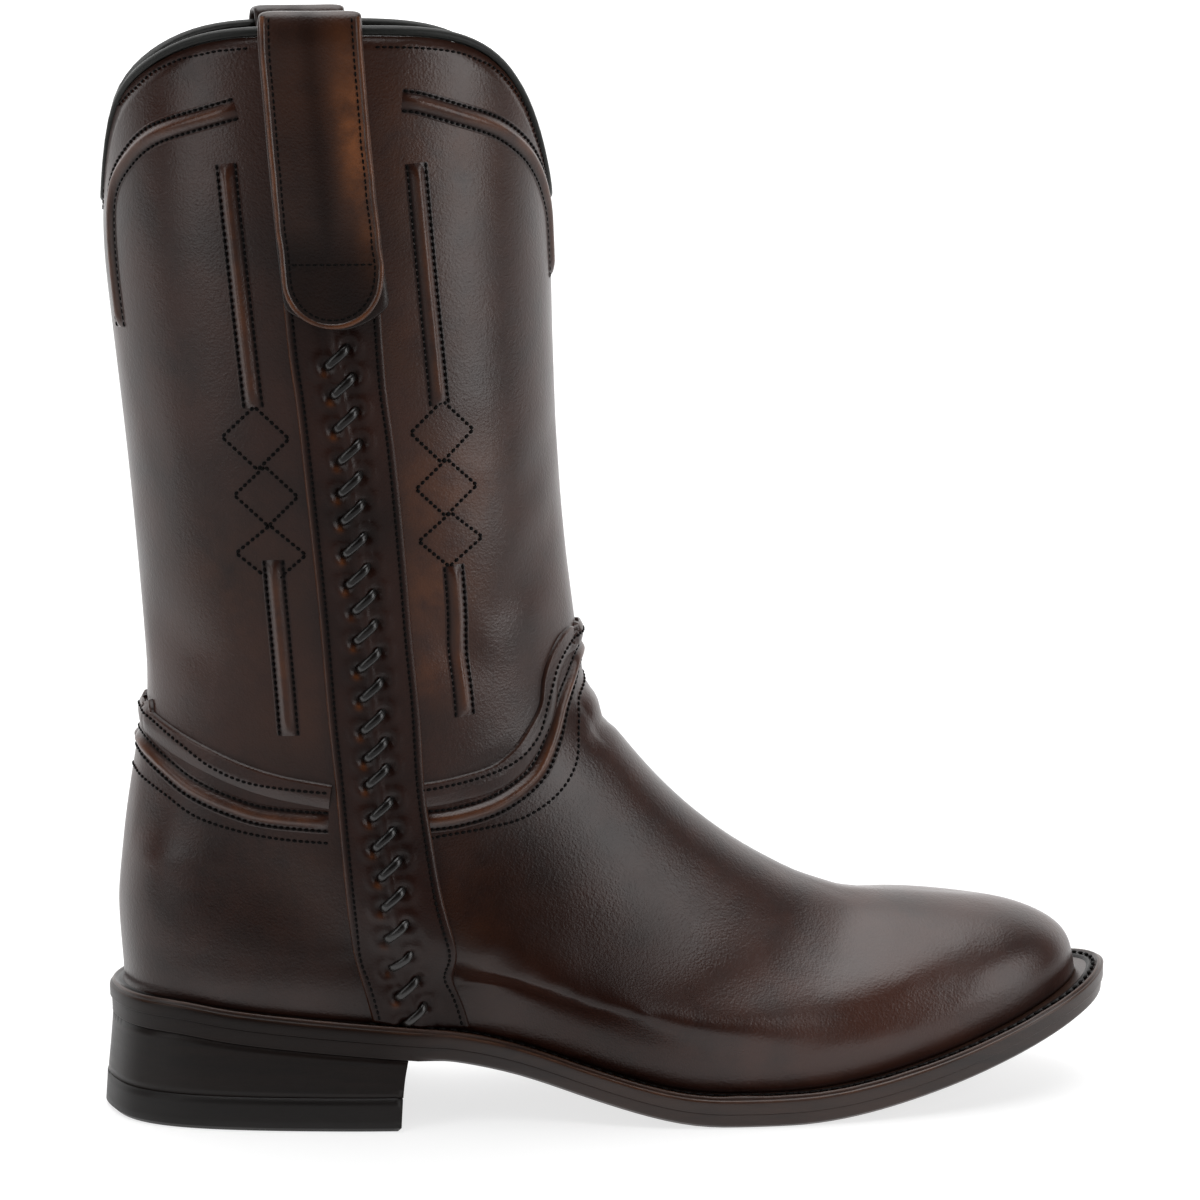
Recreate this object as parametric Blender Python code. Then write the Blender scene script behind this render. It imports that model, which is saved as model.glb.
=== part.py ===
# Roper boot for a right foot, standing on its sole. Metres, toe along +X, inner side +Y, up +Z.
# The origin is the middle of the heel's flat underside.
import math

import bmesh
import bpy
import numpy as np

for thing in list(bpy.data.objects):
    bpy.data.objects.remove(thing, do_unlink=True)

# Driving sizes.
BOOT_LENGTH = 0.303         # heel back to welt tip
BALL_WIDTH = 0.102          # the widest place of the sole
COLLAR_HIGH = 0.317         # top of the upper at its sides
INSTEP_HIGH = 0.122         # where the shaft bends into the foot
HEEL_HIGH = 0.029           # underside of the outsole at the back
TOE_SPRING = 0.0275         # underside of the outsole at the tip
CAP_THICK = 0.0100          # rubber top lift
SOLE_THICK = 0.0043         # outsole
WELT_THICK = 0.0044         # welt and heel seat
INSOLE_THICK = 0.0060       # board from the outsole up
WALL = 0.0020               # leather of the shaft with its lining
OVERLAY = 0.0012            # extra thickness of the counter and vamp
STRIP_WIDE = 0.0262         # side strip
STRIP_THICK = 0.0012
STRAP_THICK = 0.0022
LACE_WIDE = 0.0078
BINDING_HIGH = 0.0026
GAP = 0.0003                # clearance between neighbours
HEEL_MIDDLE = 0.145         # share of the length at which the origin lies
BREAST = 0.290              # share of the length at which the heel ends

# Height of the outsole's underside: shares of the length, and of the heel height or the toe spring.
UNDERSIDE_ROWS = (
    dict(along=0.000, rise=1.000),
    dict(along=0.066, rise=0.986),
    dict(along=0.119, rise=0.910),
    dict(along=0.172, rise=0.852),
    dict(along=0.228, rise=0.797),
    dict(along=0.287, rise=0.741),
    dict(along=0.333, rise=0.676),
    dict(along=0.370, rise=0.593),
    dict(along=0.406, rise=0.483),
    dict(along=0.455, rise=0.310),
    dict(along=0.502, rise=0.166),
    dict(along=0.545, rise=0.055),
    dict(along=0.581, rise=0.000),
    dict(along=0.680, rise=0.000),
    dict(along=0.733, rise=0.073),
    dict(along=0.792, rise=0.218),
    dict(along=0.858, rise=0.429),
    dict(along=0.924, rise=0.684),
    dict(along=1.000, rise=1.000),
)

# Edge of the sole seen from above: shares of the length, and of the ball width to each side.
SOLE_ROWS = (
    dict(along=0.005, outer=0.020, inner=0.020),
    dict(along=0.015, outer=-0.100, inner=0.135),
    dict(along=0.033, outer=-0.182, inner=0.212),
    dict(along=0.063, outer=-0.245, inner=0.265),
    dict(along=0.109, outer=-0.294, inner=0.300),
    dict(along=0.182, outer=-0.337, inner=0.325),
    dict(along=0.284, outer=-0.371, inner=0.324),
    dict(along=0.343, outer=-0.352, inner=0.290),
    dict(along=0.393, outer=-0.345, inner=0.276),
    dict(along=0.449, outer=-0.375, inner=0.307),
    dict(along=0.521, outer=-0.428, inner=0.395),
    dict(along=0.620, outer=-0.457, inner=0.512),
    dict(along=0.700, outer=-0.445, inner=0.543),
    dict(along=0.792, outer=-0.408, inner=0.496),
    dict(along=0.865, outer=-0.357, inner=0.420),
    dict(along=0.924, outer=-0.288, inner=0.322),
    dict(along=0.967, outer=-0.198, inner=0.214),
    dict(along=0.990, outer=-0.104, inner=0.118),
    dict(along=1.000, outer=0.006, inner=0.006),
)

# How far the foot of the upper stands in from the sole's edge, in shares of the ball width.
LEDGE_ROWS = (
    dict(along=0.00, ledge=0.038),
    dict(along=0.28, ledge=0.042),
    dict(along=0.38, ledge=0.062),
    dict(along=0.75, ledge=0.070),
    dict(along=1.00, ledge=0.088),
)

# The closed rings of the upper from collar to sole. back, front, seam: where each ring starts and
# ends and where the side strip crosses it, in shares of the length. back_up, front_up, side_up:
# heights, 0 on the welt, 1 at the instep, 2 at the collar. outer, inner: half widths in shares of
# the ball width. heel, toe: how far the ring takes the shape of the sole's two ends. swing: how
# far it follows the sole's middle line. notch: how sharp the dips are. full: swell over the sole.
RING_ROWS = (
    dict(at="rim", back=0.0152, back_up=1.751, front=0.4403, front_up=1.751, side_up=2.000,
         outer=0.475, inner=0.475, heel=0.00, toe=0.00, swing=0.00, notch=1.0, full=1.00, seam=0.2073),
    dict(at="cuff", back=0.0165, back_up=1.656, front=0.4409, front_up=1.667, side_up=1.805,
         outer=0.474, inner=0.474, heel=0.00, toe=0.00, swing=0.00, notch=0.2, full=1.00, seam=0.2162),
    dict(at="shaft high", back=0.0284, back_up=1.467, front=0.4442, front_up=1.462, side_up=1.569,
         outer=0.461, inner=0.461, heel=0.00, toe=0.00, swing=0.00, notch=0.0, full=1.00, seam=0.2327),
    dict(at="shaft mid", back=0.0383, back_up=1.287, front=0.4512, front_up=1.287, side_up=1.328,
         outer=0.436, inner=0.436, heel=0.00, toe=0.00, swing=0.00, notch=0.0, full=1.00, seam=0.2459),
    dict(at="ankle", back=0.0459, back_up=1.108, front=0.4587, front_up=1.179, side_up=1.092,
         outer=0.397, inner=0.392, heel=0.10, toe=0.00, swing=0.10, notch=0.0, full=1.00, seam=0.2594),
    dict(at="edge", back=0.0472, back_up=1.008, front=0.4640, front_up=1.113, side_up=0.792,
         outer=0.373, inner=0.363, heel=0.35, toe=0.00, swing=0.25, notch=0.0, full=1.00, seam=0.2686),
    dict(at="hollow", back=0.0376, back_up=0.821, front=0.4686, front_up=1.031, side_up=0.657,
         outer=0.368, inner=0.358, heel=0.60, toe=0.05, swing=0.40, notch=0.0, full=1.00, seam=0.2726),
    dict(at="instep top", back=0.0277, back_up=0.636, front=0.4944, front_up=0.930, side_up=0.536,
         outer=0.368, inner=0.353, heel=0.80, toe=0.10, swing=0.55, notch=0.0, full=1.01, seam=0.2766),
    dict(at="instep", back=0.0205, back_up=0.463, front=0.5472, front_up=0.764, side_up=0.418,
         outer=0.373, inner=0.358, heel=0.95, toe=0.15, swing=0.70, notch=0.0, full=1.03, seam=0.2805),
    dict(at="instep low", back=0.0165, back_up=0.320, front=0.6218, front_up=0.594, side_up=0.314,
         outer=0.382, inner=0.377, heel=1.00, toe=0.20, swing=0.80, notch=0.0, full=1.05, seam=0.2845),
    dict(at="vamp", back=0.0168, back_up=0.224, front=0.7139, front_up=0.461, side_up=0.239,
         outer=0.402, inner=0.402, heel=1.00, toe=0.35, swing=0.90, notch=0.0, full=1.06, seam=0.2878),
    dict(at="toe top", back=0.0178, back_up=0.153, front=0.8119, front_up=0.385, side_up=0.197,
         outer=0.412, inner=0.422, heel=1.00, toe=0.60, swing=1.00, notch=0.0, full=1.06, seam=0.2904),
    dict(at="toe brow", back=0.0188, back_up=0.099, front=0.8944, front_up=0.309, side_up=0.167,
         outer=0.422, inner=0.431, heel=1.00, toe=0.85, swing=1.00, notch=0.0, full=1.06, seam=0.2931),
    dict(at="toe front", back=0.0195, back_up=0.057, front=0.9435, front_up=0.205, side_up=0.124,
         outer=0.422, inner=0.431, heel=1.00, toe=0.97, swing=1.00, notch=0.0, full=1.05, seam=0.2957),
    dict(at="bulge", back=0.0198, back_up=0.028, front=0.9650, front_up=0.100, side_up=0.080,
         outer=0.422, inner=0.431, heel=1.00, toe=1.00, swing=1.00, notch=0.0, full=1.03, seam=0.2983),
    dict(at="feather", back=0.0208, back_up=0.000, front=0.9677, front_up=0.000, side_up=0.000,
         outer=0.422, inner=0.431, heel=1.00, toe=1.00, swing=1.00, notch=0.0, full=1.00, seam=0.3003),
)
EDGE_ROW = 5                # the row that follows the upper edge of counter and vamp

# Each half of a ring: spaces behind the side strip, across it and in front of it.
BEHIND = 10
ACROSS = 4
AHEAD = 16
HALF = BEHIND + ACROSS + AHEAD
ROUND = 2 * HALF


# A smooth curve through one column of a table.
def through(rows, name, at):
    knots = [row["along"] for row in rows]
    values = [row[name] for row in rows]
    at = min(max(at, knots[0]), knots[-1])
    i = min(max(int(np.searchsorted(knots, at)) - 1, 0), len(knots) - 2)
    width = knots[i + 1] - knots[i]
    t = (at - knots[i]) / width

    def slope(j):
        if j == 0:
            return (values[1] - values[0]) / (knots[1] - knots[0])
        if j == len(knots) - 1:
            return (values[j] - values[j - 1]) / (knots[j] - knots[j - 1])
        before = (values[j] - values[j - 1]) / (knots[j] - knots[j - 1])
        after = (values[j + 1] - values[j]) / (knots[j + 1] - knots[j])
        if before * after <= 0:
            return 0.0
        return 2 * before * after / (before + after)

    a = slope(i) * width
    b = slope(i + 1) * width
    p = values[i]
    q = values[i + 1]
    return (2 * t**3 - 3 * t**2 + 1) * p + (t**3 - 2 * t**2 + t) * a \
        + (3 * t**2 - 2 * t**3) * q + (t**3 - t**2) * b


# Height of the outsole's underside at a distance from the heel's back.
def underside(x):
    at = x / BOOT_LENGTH
    size = HEEL_HIGH if at < 0.63 else TOE_SPRING
    return size * through(UNDERSIDE_ROWS, "rise", at)


def welt_top(x):
    return underside(x) + SOLE_THICK + GAP + WELT_THICK


# The sole's edge as a closed curve that can be stood in by a ledge. Returned as two sides.
def sole_edge(ledge_share, extra):
    knots = np.array([row["along"] for row in SOLE_ROWS])
    outer = np.array([row["outer"] for row in SOLE_ROWS])
    inner = np.array([row["inner"] for row in SOLE_ROWS])
    loop = np.concatenate((np.stack((knots * BOOT_LENGTH, outer * BALL_WIDTH), 1),
                           np.stack((knots * BOOT_LENGTH, inner * BALL_WIDTH), 1)[-2:0:-1]))
    count = len(loop)
    curve = []
    for i in range(count):
        a, b, c, d = (loop[(i + k - 1) % count] for k in range(4))
        for j in range(12):
            t = j / 12
            curve.append(0.5 * ((2 * b) + (c - a) * t + (2 * a - 5 * b + 4 * c - d) * t * t
                                + (3 * b - a - 3 * c + d) * t**3))
    curve = np.array(curve)
    along = np.roll(curve, -1, 0) - np.roll(curve, 1, 0)
    along /= np.linalg.norm(along, axis=1)[:, None]
    inward = np.stack((-along[:, 1], along[:, 0]), 1)
    ledge = np.array([through(LEDGE_ROWS, "ledge", x / BOOT_LENGTH) for x in curve[:, 0]])
    curve = curve + inward * (ledge_share * ledge * BALL_WIDTH + extra)[:, None]
    back = int(np.argmin(curve[:, 0]))
    curve = np.roll(curve, -back, 0)
    tip = int(np.argmax(curve[:, 0]))
    side = curve[:tip + 1]
    other = np.concatenate((curve[tip:], curve[:1]))[::-1]
    return side, other


# Half width and middle of an edge at a distance from its back.
def edge_at(edge, x):
    a = np.interp(x, edge[0][:, 0], edge[0][:, 1])
    b = np.interp(x, edge[1][:, 0], edge[1][:, 1])
    return (b - a) / 2, (a + b) / 2


FEATHER = sole_edge(1.0, 0.0)
FEATHER_BACK = FEATHER[0][0, 0]
FEATHER_TIP = FEATHER[0][-1, 0]


# One named value of the ring table at any row, whole or between rows.
def ring_value(name, row):
    values = [r[name] for r in RING_ROWS]
    i = min(int(row), len(values) - 2)
    t = row - i
    a = values[max(i - 1, 0)]
    b = values[i]
    c = values[i + 1]
    d = values[min(i + 2, len(values) - 1)]
    if row > len(values) - 2:
        d = 2 * c - b
    return 0.5 * (2 * b + (c - a) * t + (2 * a - 5 * b + 4 * c - d) * t * t
                  + (3 * b - a - 3 * c + d) * t**3)


# Turn a height share into metres: 0 on the welt, 1 at the instep, 2 at the collar.
def height(share, x):
    low = welt_top(x) + GAP
    if share <= 1:
        return low + share * (INSTEP_HIGH - low)
    return INSTEP_HIGH + (share - 1) * (COLLAR_HIGH - INSTEP_HIGH)


# The angle round a ring at which it reaches a given distance from the heel's back.
def angle_at(row, x):
    back, front = ring_ends(row)
    return math.acos(min(max(1 - 2 * (x - back) / (front - back), -1), 1))


def ring_ends(row):
    back = ring_value("back", row) * BOOT_LENGTH
    front = ring_value("front", row) * BOOT_LENGTH
    if row >= len(RING_ROWS) - 1.001:
        return FEATHER_BACK, FEATHER_TIP
    return back, front


# The angle of a numbered column on a row, so that columns run along the side strip's edges.
def column_angle(row, column):
    column = column % ROUND
    k = column if column <= HALF else ROUND - column
    middle = ring_value("seam", row) * BOOT_LENGTH
    left = angle_at(row, middle - STRIP_WIDE / 2)
    right = angle_at(row, middle + STRIP_WIDE / 2)
    if k <= BEHIND:
        angle = left * k / BEHIND
    elif k <= BEHIND + ACROSS:
        angle = left + (right - left) * (k - BEHIND) / ACROSS
    else:
        angle = right + (math.pi - right) * (k - BEHIND - ACROSS) / AHEAD
    return angle, (1 if column <= HALF else -1)


# A point on the upper's face, by row and angle. hand is 1 on the outer side and -1 on the inner.
def on_ring(row, angle, hand):
    back, front = ring_ends(row)
    c = math.cos(angle)
    s = (1 - c) / 2
    x = back + (front - back) * s
    run = front - back
    near = edge_at(FEATHER, FEATHER_BACK + min(s * run, 0.62 * (FEATHER_TIP - FEATHER_BACK)))[0]
    far = edge_at(FEATHER, FEATHER_TIP - min((1 - s) * run, 0.62 * (FEATHER_TIP - FEATHER_BACK)))[0]
    m = min(max((s - 0.25) / 0.5, 0), 1)
    m = m * m * (3 - 2 * m)
    foot = ((1 - m) * near + m * far) * ring_value("full", row)
    if row >= len(RING_ROWS) - 1.001:
        foot = edge_at(FEATHER, x)[0]
    share = ring_value("heel", row) * (1 - m) + ring_value("toe", row) * m
    share = min(max(share, 0), 1)
    half = ring_value("outer" if hand > 0 else "inner", row) * BALL_WIDTH
    wide = (1 - share) * half * math.sin(angle) + share * foot
    middle = edge_at(FEATHER, x)[1] * min(ring_value("swing", row), 1)
    y = middle - hand * wide
    notch = max(ring_value("notch", row), 0)
    if c > 0:
        sharp = 0.5 * c**4 + 0.5 * c**30
    else:
        sharp = 0.5 * c**4 + 0.5 * c**8
    dip = notch * sharp + (1 - notch) * c * c
    side = ring_value("side_up", row)
    end = ring_value("back_up" if c > 0 else "front_up", row)
    z = height(side + (end - side) * dip, x)
    if row >= len(RING_ROWS) - 1.001:
        z = welt_top(x) + GAP
    return np.array((x, y, z))


# Rows of the mesh, with two close together where the overlay steps out.
ROWS = [0, 0.5, 1, 1.6, 2.2, 2.8, 3.4, 4, 4.5, 5, 5.03, 5.5, 6, 6.6, 7.2, 7.8, 8.4, 9, 9.6, 10.2,
        10.8, 11.4, 12, 12.6, 13.2, 13.8, 14.4, 15]
STEPPED = EDGE_ROW + 0.01


# The grid of points on the plain upper and the outward direction at each.
def face_grid():
    points = np.zeros((len(ROWS), ROUND, 3))
    for i, row in enumerate(ROWS):
        for j in range(ROUND):
            angle, hand = column_angle(row, j)
            points[i, j] = on_ring(row, angle, hand)
    around = np.roll(points, -1, 1) - np.roll(points, 1, 1)
    down = np.zeros_like(points)
    down[1:-1] = points[2:] - points[:-2]
    down[0] = points[1] - points[0]
    down[-1] = points[-1] - points[-2]
    step = ROWS.index(5.03)
    down[step - 1] = points[step + 1] - points[step - 2]
    down[step] = down[step - 1]
    out = np.cross(down, around)
    out /= np.linalg.norm(out, axis=2)[:, :, None]
    out[-1, :, 2] = 0
    out[-1] /= np.linalg.norm(out[-1], axis=1)[:, None]
    return points, out


FACE, OUT = face_grid()


# How far the overlay stands out of the plain face at a row: full at its edge, merged lower down.
def overlay_at(row):
    if row < STEPPED:
        return 0.0
    return OVERLAY * min(max((8.5 - row) / 3, 0.15), 1)


# A point off the upper: by mesh row, whole or between, and column, at a distance from its face.
def off_upper(row, column, away):
    i = min(int(np.searchsorted(ROWS, row, side="right")) - 1, len(ROWS) - 2)
    t = (row - ROWS[i]) / (ROWS[i + 1] - ROWS[i])
    j = int(math.floor(column))
    u = column - j
    point = np.zeros(3)
    out = np.zeros(3)
    for a, wa in ((i, 1 - t), (i + 1, t)):
        for b, wb in ((j, 1 - u), (j + 1, u)):
            point += wa * wb * FACE[a, b % ROUND]
            out += wa * wb * OUT[a, b % ROUND]
    out /= np.linalg.norm(out)
    return point + out * away


# Materials: colour, roughness and metallic of each piece.
def material(name, colour, rough):
    made = bpy.data.materials.new(name)
    made.use_nodes = True
    shader = made.node_tree.nodes["Principled BSDF"]
    shader.inputs["Base Color"].default_value = (*colour, 1)
    shader.inputs["Roughness"].default_value = rough
    shader.inputs["Metallic"].default_value = 0.0
    made.diffuse_color = (*colour, 1)
    return made


BROWN = material("brown leather", (0.055, 0.030, 0.021), 0.45)
STRIP_BROWN = material("strip leather", (0.070, 0.036, 0.022), 0.45)
TAN = material("worn strap leather", (0.150, 0.062, 0.024), 0.5)
LACE = material("dark lace", (0.020, 0.014, 0.012), 0.35)
LINING = material("dark binding", (0.012, 0.014, 0.011), 0.6)
BOARD = material("insole leather", (0.110, 0.070, 0.045), 0.7)
WELT_BROWN = material("welt leather", (0.060, 0.030, 0.018), 0.5)
SOLE_BROWN = material("sole leather", (0.030, 0.018, 0.013), 0.55)
STACK = material("stacked leather", (0.028, 0.017, 0.013), 0.5)
RUBBER = material("black rubber", (0.012, 0.011, 0.010), 0.7)

BOOT = bpy.data.collections.new("roper_boot")
bpy.context.scene.collection.children.link(BOOT)


# Turn closed rings of points into one solid. With caps the first and last ring are closed by
# strips across them, and without caps the last ring joins the first.
def solid(name, rings, caps, made):
    mesh = bmesh.new()
    verts = [[mesh.verts.new((p[0] - HEEL_MIDDLE * BOOT_LENGTH, p[1], p[2])) for p in ring]
             for ring in rings]
    count = len(verts[0])
    last = len(verts) - 1 if caps else len(verts)
    for i in range(last):
        low = verts[i]
        high = verts[(i + 1) % len(verts)]
        for j in range(count):
            k = (j + 1) % count
            mesh.faces.new((low[j], low[k], high[k], high[j]))
    if caps:
        for ring in (verts[0], verts[-1]):
            half = count // 2
            for j in range(half):
                corners = [ring[j], ring[j + 1], ring[(count - j - 1) % count], ring[(count - j) % count]]
                corners = [v for n, v in enumerate(corners) if v not in corners[:n]]
                mesh.faces.new(corners)
    bmesh.ops.recalc_face_normals(mesh, faces=mesh.faces)
    bmesh.ops.triangulate(mesh, faces=mesh.faces)
    if mesh.calc_volume(signed=True) < 0:
        bmesh.ops.reverse_faces(mesh, faces=mesh.faces)
    data = bpy.data.meshes.new(name)
    mesh.to_mesh(data)
    mesh.free()
    data.materials.append(made)
    for face in data.polygons:
        face.use_smooth = True
    thing = bpy.data.objects.new(name, data)
    BOOT.objects.link(thing)
    return thing


# A sheet given as rows of points on its two faces, closed along all four edges.
def sheet(name, front, behind, made):
    rings = []
    for a, b in zip(front, behind):
        rings.append(list(a) + list(b)[::-1])
    return solid(name, rings, True, made)


# Upper: the outer face with its step, and the inner face a wall's thickness inside.
outer_rings = []
for i, row in enumerate(ROWS):
    outer_rings.append(FACE[i] + OUT[i] * overlay_at(row))
inner_rings = []
for i, row in enumerate(ROWS):
    if row == 5.03:
        continue
    inside = FACE[i] - OUT[i] * WALL
    if i == 0:
        inside[:, 2] = FACE[i][:, 2]
    if i == len(ROWS) - 1:
        inside[:, 2] = [welt_top(p[0]) + GAP for p in inside]
    inner_rings.append(inside)
for p in outer_rings[-1]:
    p[2] = welt_top(p[0]) + GAP
upper_rings = outer_rings + inner_rings[::-1]
solid("upper", upper_rings, False, BROWN)


# The distance along the boot of a numbered column, the same for every layer of the sole in its
# middle and drawn out to each layer's own ends.
def station(column, back, tip):
    angle = column_angle(len(RING_ROWS) - 1, column)[0]
    x = FEATHER_BACK + (FEATHER_TIP - FEATHER_BACK) * (1 - math.cos(angle)) / 2
    near = 0.12 * BOOT_LENGTH
    far = 0.86 * BOOT_LENGTH
    if x < near:
        return back + (x - FEATHER_BACK) * (near - back) / (near - FEATHER_BACK)
    if x > far:
        return tip - (FEATHER_TIP - x) * (tip - far) / (FEATHER_TIP - far)
    return x


# A closed ring along the sole's edge, stood in by a share of the ledge and by some metres more.
def sole_ring(ledge_share, extra, height_at):
    side, other = sole_edge(ledge_share, extra)
    points = []
    for j in range(ROUND):
        hand = column_angle(len(RING_ROWS) - 1, j)[1]
        x = station(j, side[0, 0], side[-1, 0])
        edge = side if hand > 0 else other
        points.append(np.array((x, np.interp(x, edge[:, 0], edge[:, 1]), height_at(x))))
    return points


# Insole: a board inside the upper that rests on the outsole and fills the welt's opening.
def insole_low(x):
    return underside(x) + SOLE_THICK + GAP


def insole_high(x):
    return underside(x) + SOLE_THICK + GAP + INSOLE_THICK


IN_BOARD = WALL + 2.5 * GAP
solid("insole", [sole_ring(1.0, IN_BOARD, insole_low), sole_ring(1.0, IN_BOARD, insole_high)],
      True, BOARD)

# Welt: a rim round the insole with soft edges and a shallow groove beside the upper.
def welt_level(share):
    return lambda x: underside(x) + SOLE_THICK + GAP + WELT_THICK * share


solid("welt", [sole_ring(1.0, WALL + GAP, welt_level(0)), sole_ring(0, 0.0008, welt_level(0)),
               sole_ring(0, 0, welt_level(0.2)), sole_ring(0, 0, welt_level(0.75)),
               sole_ring(0, 0.0012, welt_level(1)), sole_ring(1.0, WALL + GAP, welt_level(1))],
      False, WELT_BROWN)


# Outsole: one long plate with its edges eased.
def sole_level(share):
    return lambda x: underside(x) + SOLE_THICK * share


solid("outsole", [sole_ring(0, 0.0022, sole_level(0)), sole_ring(0, 0.0006, sole_level(0.25)),
                  sole_ring(0, 0.0005, sole_level(0.85)), sole_ring(0, 0.0011, sole_level(1))],
      True, SOLE_BROWN)


# Heel: rings that follow the sole's back end and close across a hollowed breast.
def heel_ring(extra, grow, lean, height_at):
    side, other = sole_edge(0, extra)
    breast = BREAST * BOOT_LENGTH - lean
    back = side[0, 0]
    points = []
    steps = 16
    for hand in (1, -1):
        edge = side if hand > 0 else other
        row = []
        for j in range(steps + 1):
            x = back + (breast - back) * (1 - math.cos(math.pi / 2 * j / steps))
            row.append((x, np.interp(x, edge[:, 0], edge[:, 1])))
        points.append(row)
    first, second = points
    corner_a = np.array(first[-1])
    corner_b = np.array(second[-1])
    across = []
    for t in (0.25, 0.5, 0.75):
        p = corner_a + (corner_b - corner_a) * t
        p[0] -= 0.016 * BOOT_LENGTH * math.sin(math.pi * t)
        across.append(p)
    flat = first + across + second[::-1][:-1]
    made = []
    for x, y in flat:
        px = breast + (x - breast) * grow
        made.append(np.array((px, y * grow, height_at(x))))
    return made


def heel_level(share):
    def level(x):
        low = CAP_THICK + GAP
        return low + (underside(x) - GAP - low) * share
    return level


def lift_level(share):
    return lambda x: CAP_THICK * share


solid("heel_stack", [heel_ring(0.0008, 1.022, 0.0016, heel_level(0)),
                     heel_ring(0.0008, 1.010, 0.0010, heel_level(0.5)),
                     heel_ring(0.0008, 1.0, 0.0, heel_level(1))], True, STACK)
solid("heel_cap", [heel_ring(0.0022, 1.032, 0.0032, lift_level(0)),
                   heel_ring(0.0008, 1.032, 0.0022, lift_level(0.14)),
                   heel_ring(0.0008, 1.024, 0.0017, lift_level(1))], True, RUBBER)


# The columns of the side strip on each side of the boot.
def strip_columns(hand):
    if hand > 0:
        return [BEHIND + k for k in range(ACROSS + 1)]
    return [ROUND - BEHIND - k for k in range(ACROSS + 1)]


# How far the upper's face stands out at a row, for pieces laid over it.
def stand(row):
    return overlay_at(max(row, STEPPED + 0.01)) if row >= EDGE_ROW else 0.0


# Side strips: a layer over the seam from below the binding down to the welt.
STRIP_GAP = 0.00040
for hand, name in ((1, "side_strip_outer"), (-1, "side_strip_inner")):
    front = []
    behind = []
    for row in [0.06] + ROWS[1:-1] + [14.93]:
        columns = strip_columns(hand)
        low = stand(row) + STRIP_GAP
        behind.append([off_upper(row, c, low) for c in columns])
        front.append([off_upper(row, c, low + STRIP_THICK) for c in columns])
    sheet(name, front, behind, STRIP_BROWN)


# Where a height falls on the middle of the strip, as a row.
def row_at(z, column):
    rows = np.linspace(0, 15, 301)
    heights = [off_upper(r, column, 0)[2] for r in rows]
    return float(np.interp(-z, [-h for h in heights], rows))


# Lacing: slanted bars down the middle of each strip, joined by a thin band under them.
LACE_TOP = 0.718            # share of the collar height
LACE_FOOT = 0.137
BARS = 22
LACE_BAND = 0.0005
LACE_HIGH = 0.0021
for hand, name in ((1, "lacing_outer"), (-1, "lacing_inner")):
    columns = strip_columns(hand)
    middle = columns[2]
    side = 1 if columns[1] > columns[0] else -1
    pitch = (LACE_TOP - LACE_FOOT) * COLLAR_HIGH / (BARS - 1)
    tall = LACE_WIDE / STRIP_WIDE * ACROSS / 2
    front = []
    behind = []
    for bar in range(BARS):
        centre = LACE_TOP * COLLAR_HIGH - bar * pitch
        for part, rise in ((0.24, LACE_BAND), (0, LACE_HIGH), (-0.24, LACE_BAND)):
            z = centre + part * pitch
            ends = []
            for end in (-1, 1):
                row = row_at(z + end * 0.36 * pitch, middle)
                base = stand(row + 0.55) + STRIP_GAP + STRIP_THICK + 1.8 * GAP
                ends.append((off_upper(row, middle + side * end * tall, base),
                             off_upper(row, middle + side * end * tall, base + rise)))
            behind.append([ends[0][0], ends[1][0]])
            front.append([ends[0][1], ends[1][1]])
    sheet(name, front, behind, LACE)


# Pull straps: up the outside of the strip, over the collar clear of its binding, down the inside.
STRAP_FOOT = 0.768          # share of the collar height
for hand, name in ((1, "pull_strap_outer"), (-1, "pull_strap_inner")):
    columns = strip_columns(hand)
    outside = STRIP_GAP + STRIP_THICK + 1.2 * GAP
    inside = -WALL - 4 * GAP
    over = BINDING_HIGH + 6 * GAP
    foot = row_at(STRAP_FOOT * COLLAR_HIGH, columns[2])
    skin = []
    under = []
    for drop in (0.0, 0.06, 0.3, 0.6, 0.85, 1.0):
        top = []
        low = []
        for n, column in enumerate(columns):
            end = foot + (0.14 if n == 2 else 0.10 if n in (1, 3) else 0)
            row = end * (1 - drop)
            low.append(off_upper(row, column, outside))
            top.append(off_upper(row, column, outside + STRAP_THICK))
        skin.append(top)
        under.append(low)
    for share, lift in ((0.2, 0.75), (0.5, 1.0), (0.8, 0.75)):
        top = []
        low = []
        for column in columns:
            away = outside + (inside - outside) * share
            spread = STRAP_THICK * (1 - 2 * share)
            point = off_upper(0, column, away)
            low.append(point + np.array((0, 0, over * (0.9 + 0.1 * lift))))
            wide = off_upper(0, column, away + spread)
            top.append(wide + np.array((0, 0, over + STRAP_THICK * lift)))
        skin.append(top)
        under.append(low)
    for row in (0.0, 0.4, 0.8, 1.2):
        low = [off_upper(row, c, inside) for c in columns]
        top = [off_upper(row, c, inside - STRAP_THICK) for c in columns]
        skin.append(top)
        under.append(low)
    sheet(name, skin, under, TAN)

# Collar binding: a bead that rides the top edge all the way round.
bead = []
rim_out = outer_rings[0]
rim_in = inner_rings[0]
for j in range(ROUND):
    middle = (rim_out[j] + rim_in[j]) / 2
    before = (rim_out[j - 1] + rim_in[j - 1]) / 2
    after = (rim_out[(j + 1) % ROUND] + rim_in[(j + 1) % ROUND]) / 2
    along = (after - before) / np.linalg.norm(after - before)
    out = OUT[0, j] - along * float(OUT[0, j] @ along)
    out /= np.linalg.norm(out)
    up = np.cross(out, along)
    if up[2] < 0:
        up = -up
    half = WALL / 2 + 0.0006
    bead.append([middle + up * GAP * 1.3 - out * half, middle + up * GAP * 1.3 + out * half,
                 middle + up * (GAP + BINDING_HIGH * 0.75) + out * half * 0.85,
                 middle + up * (GAP + BINDING_HIGH),
                 middle + up * (GAP + BINDING_HIGH * 0.75) - out * half * 0.85])
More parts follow.
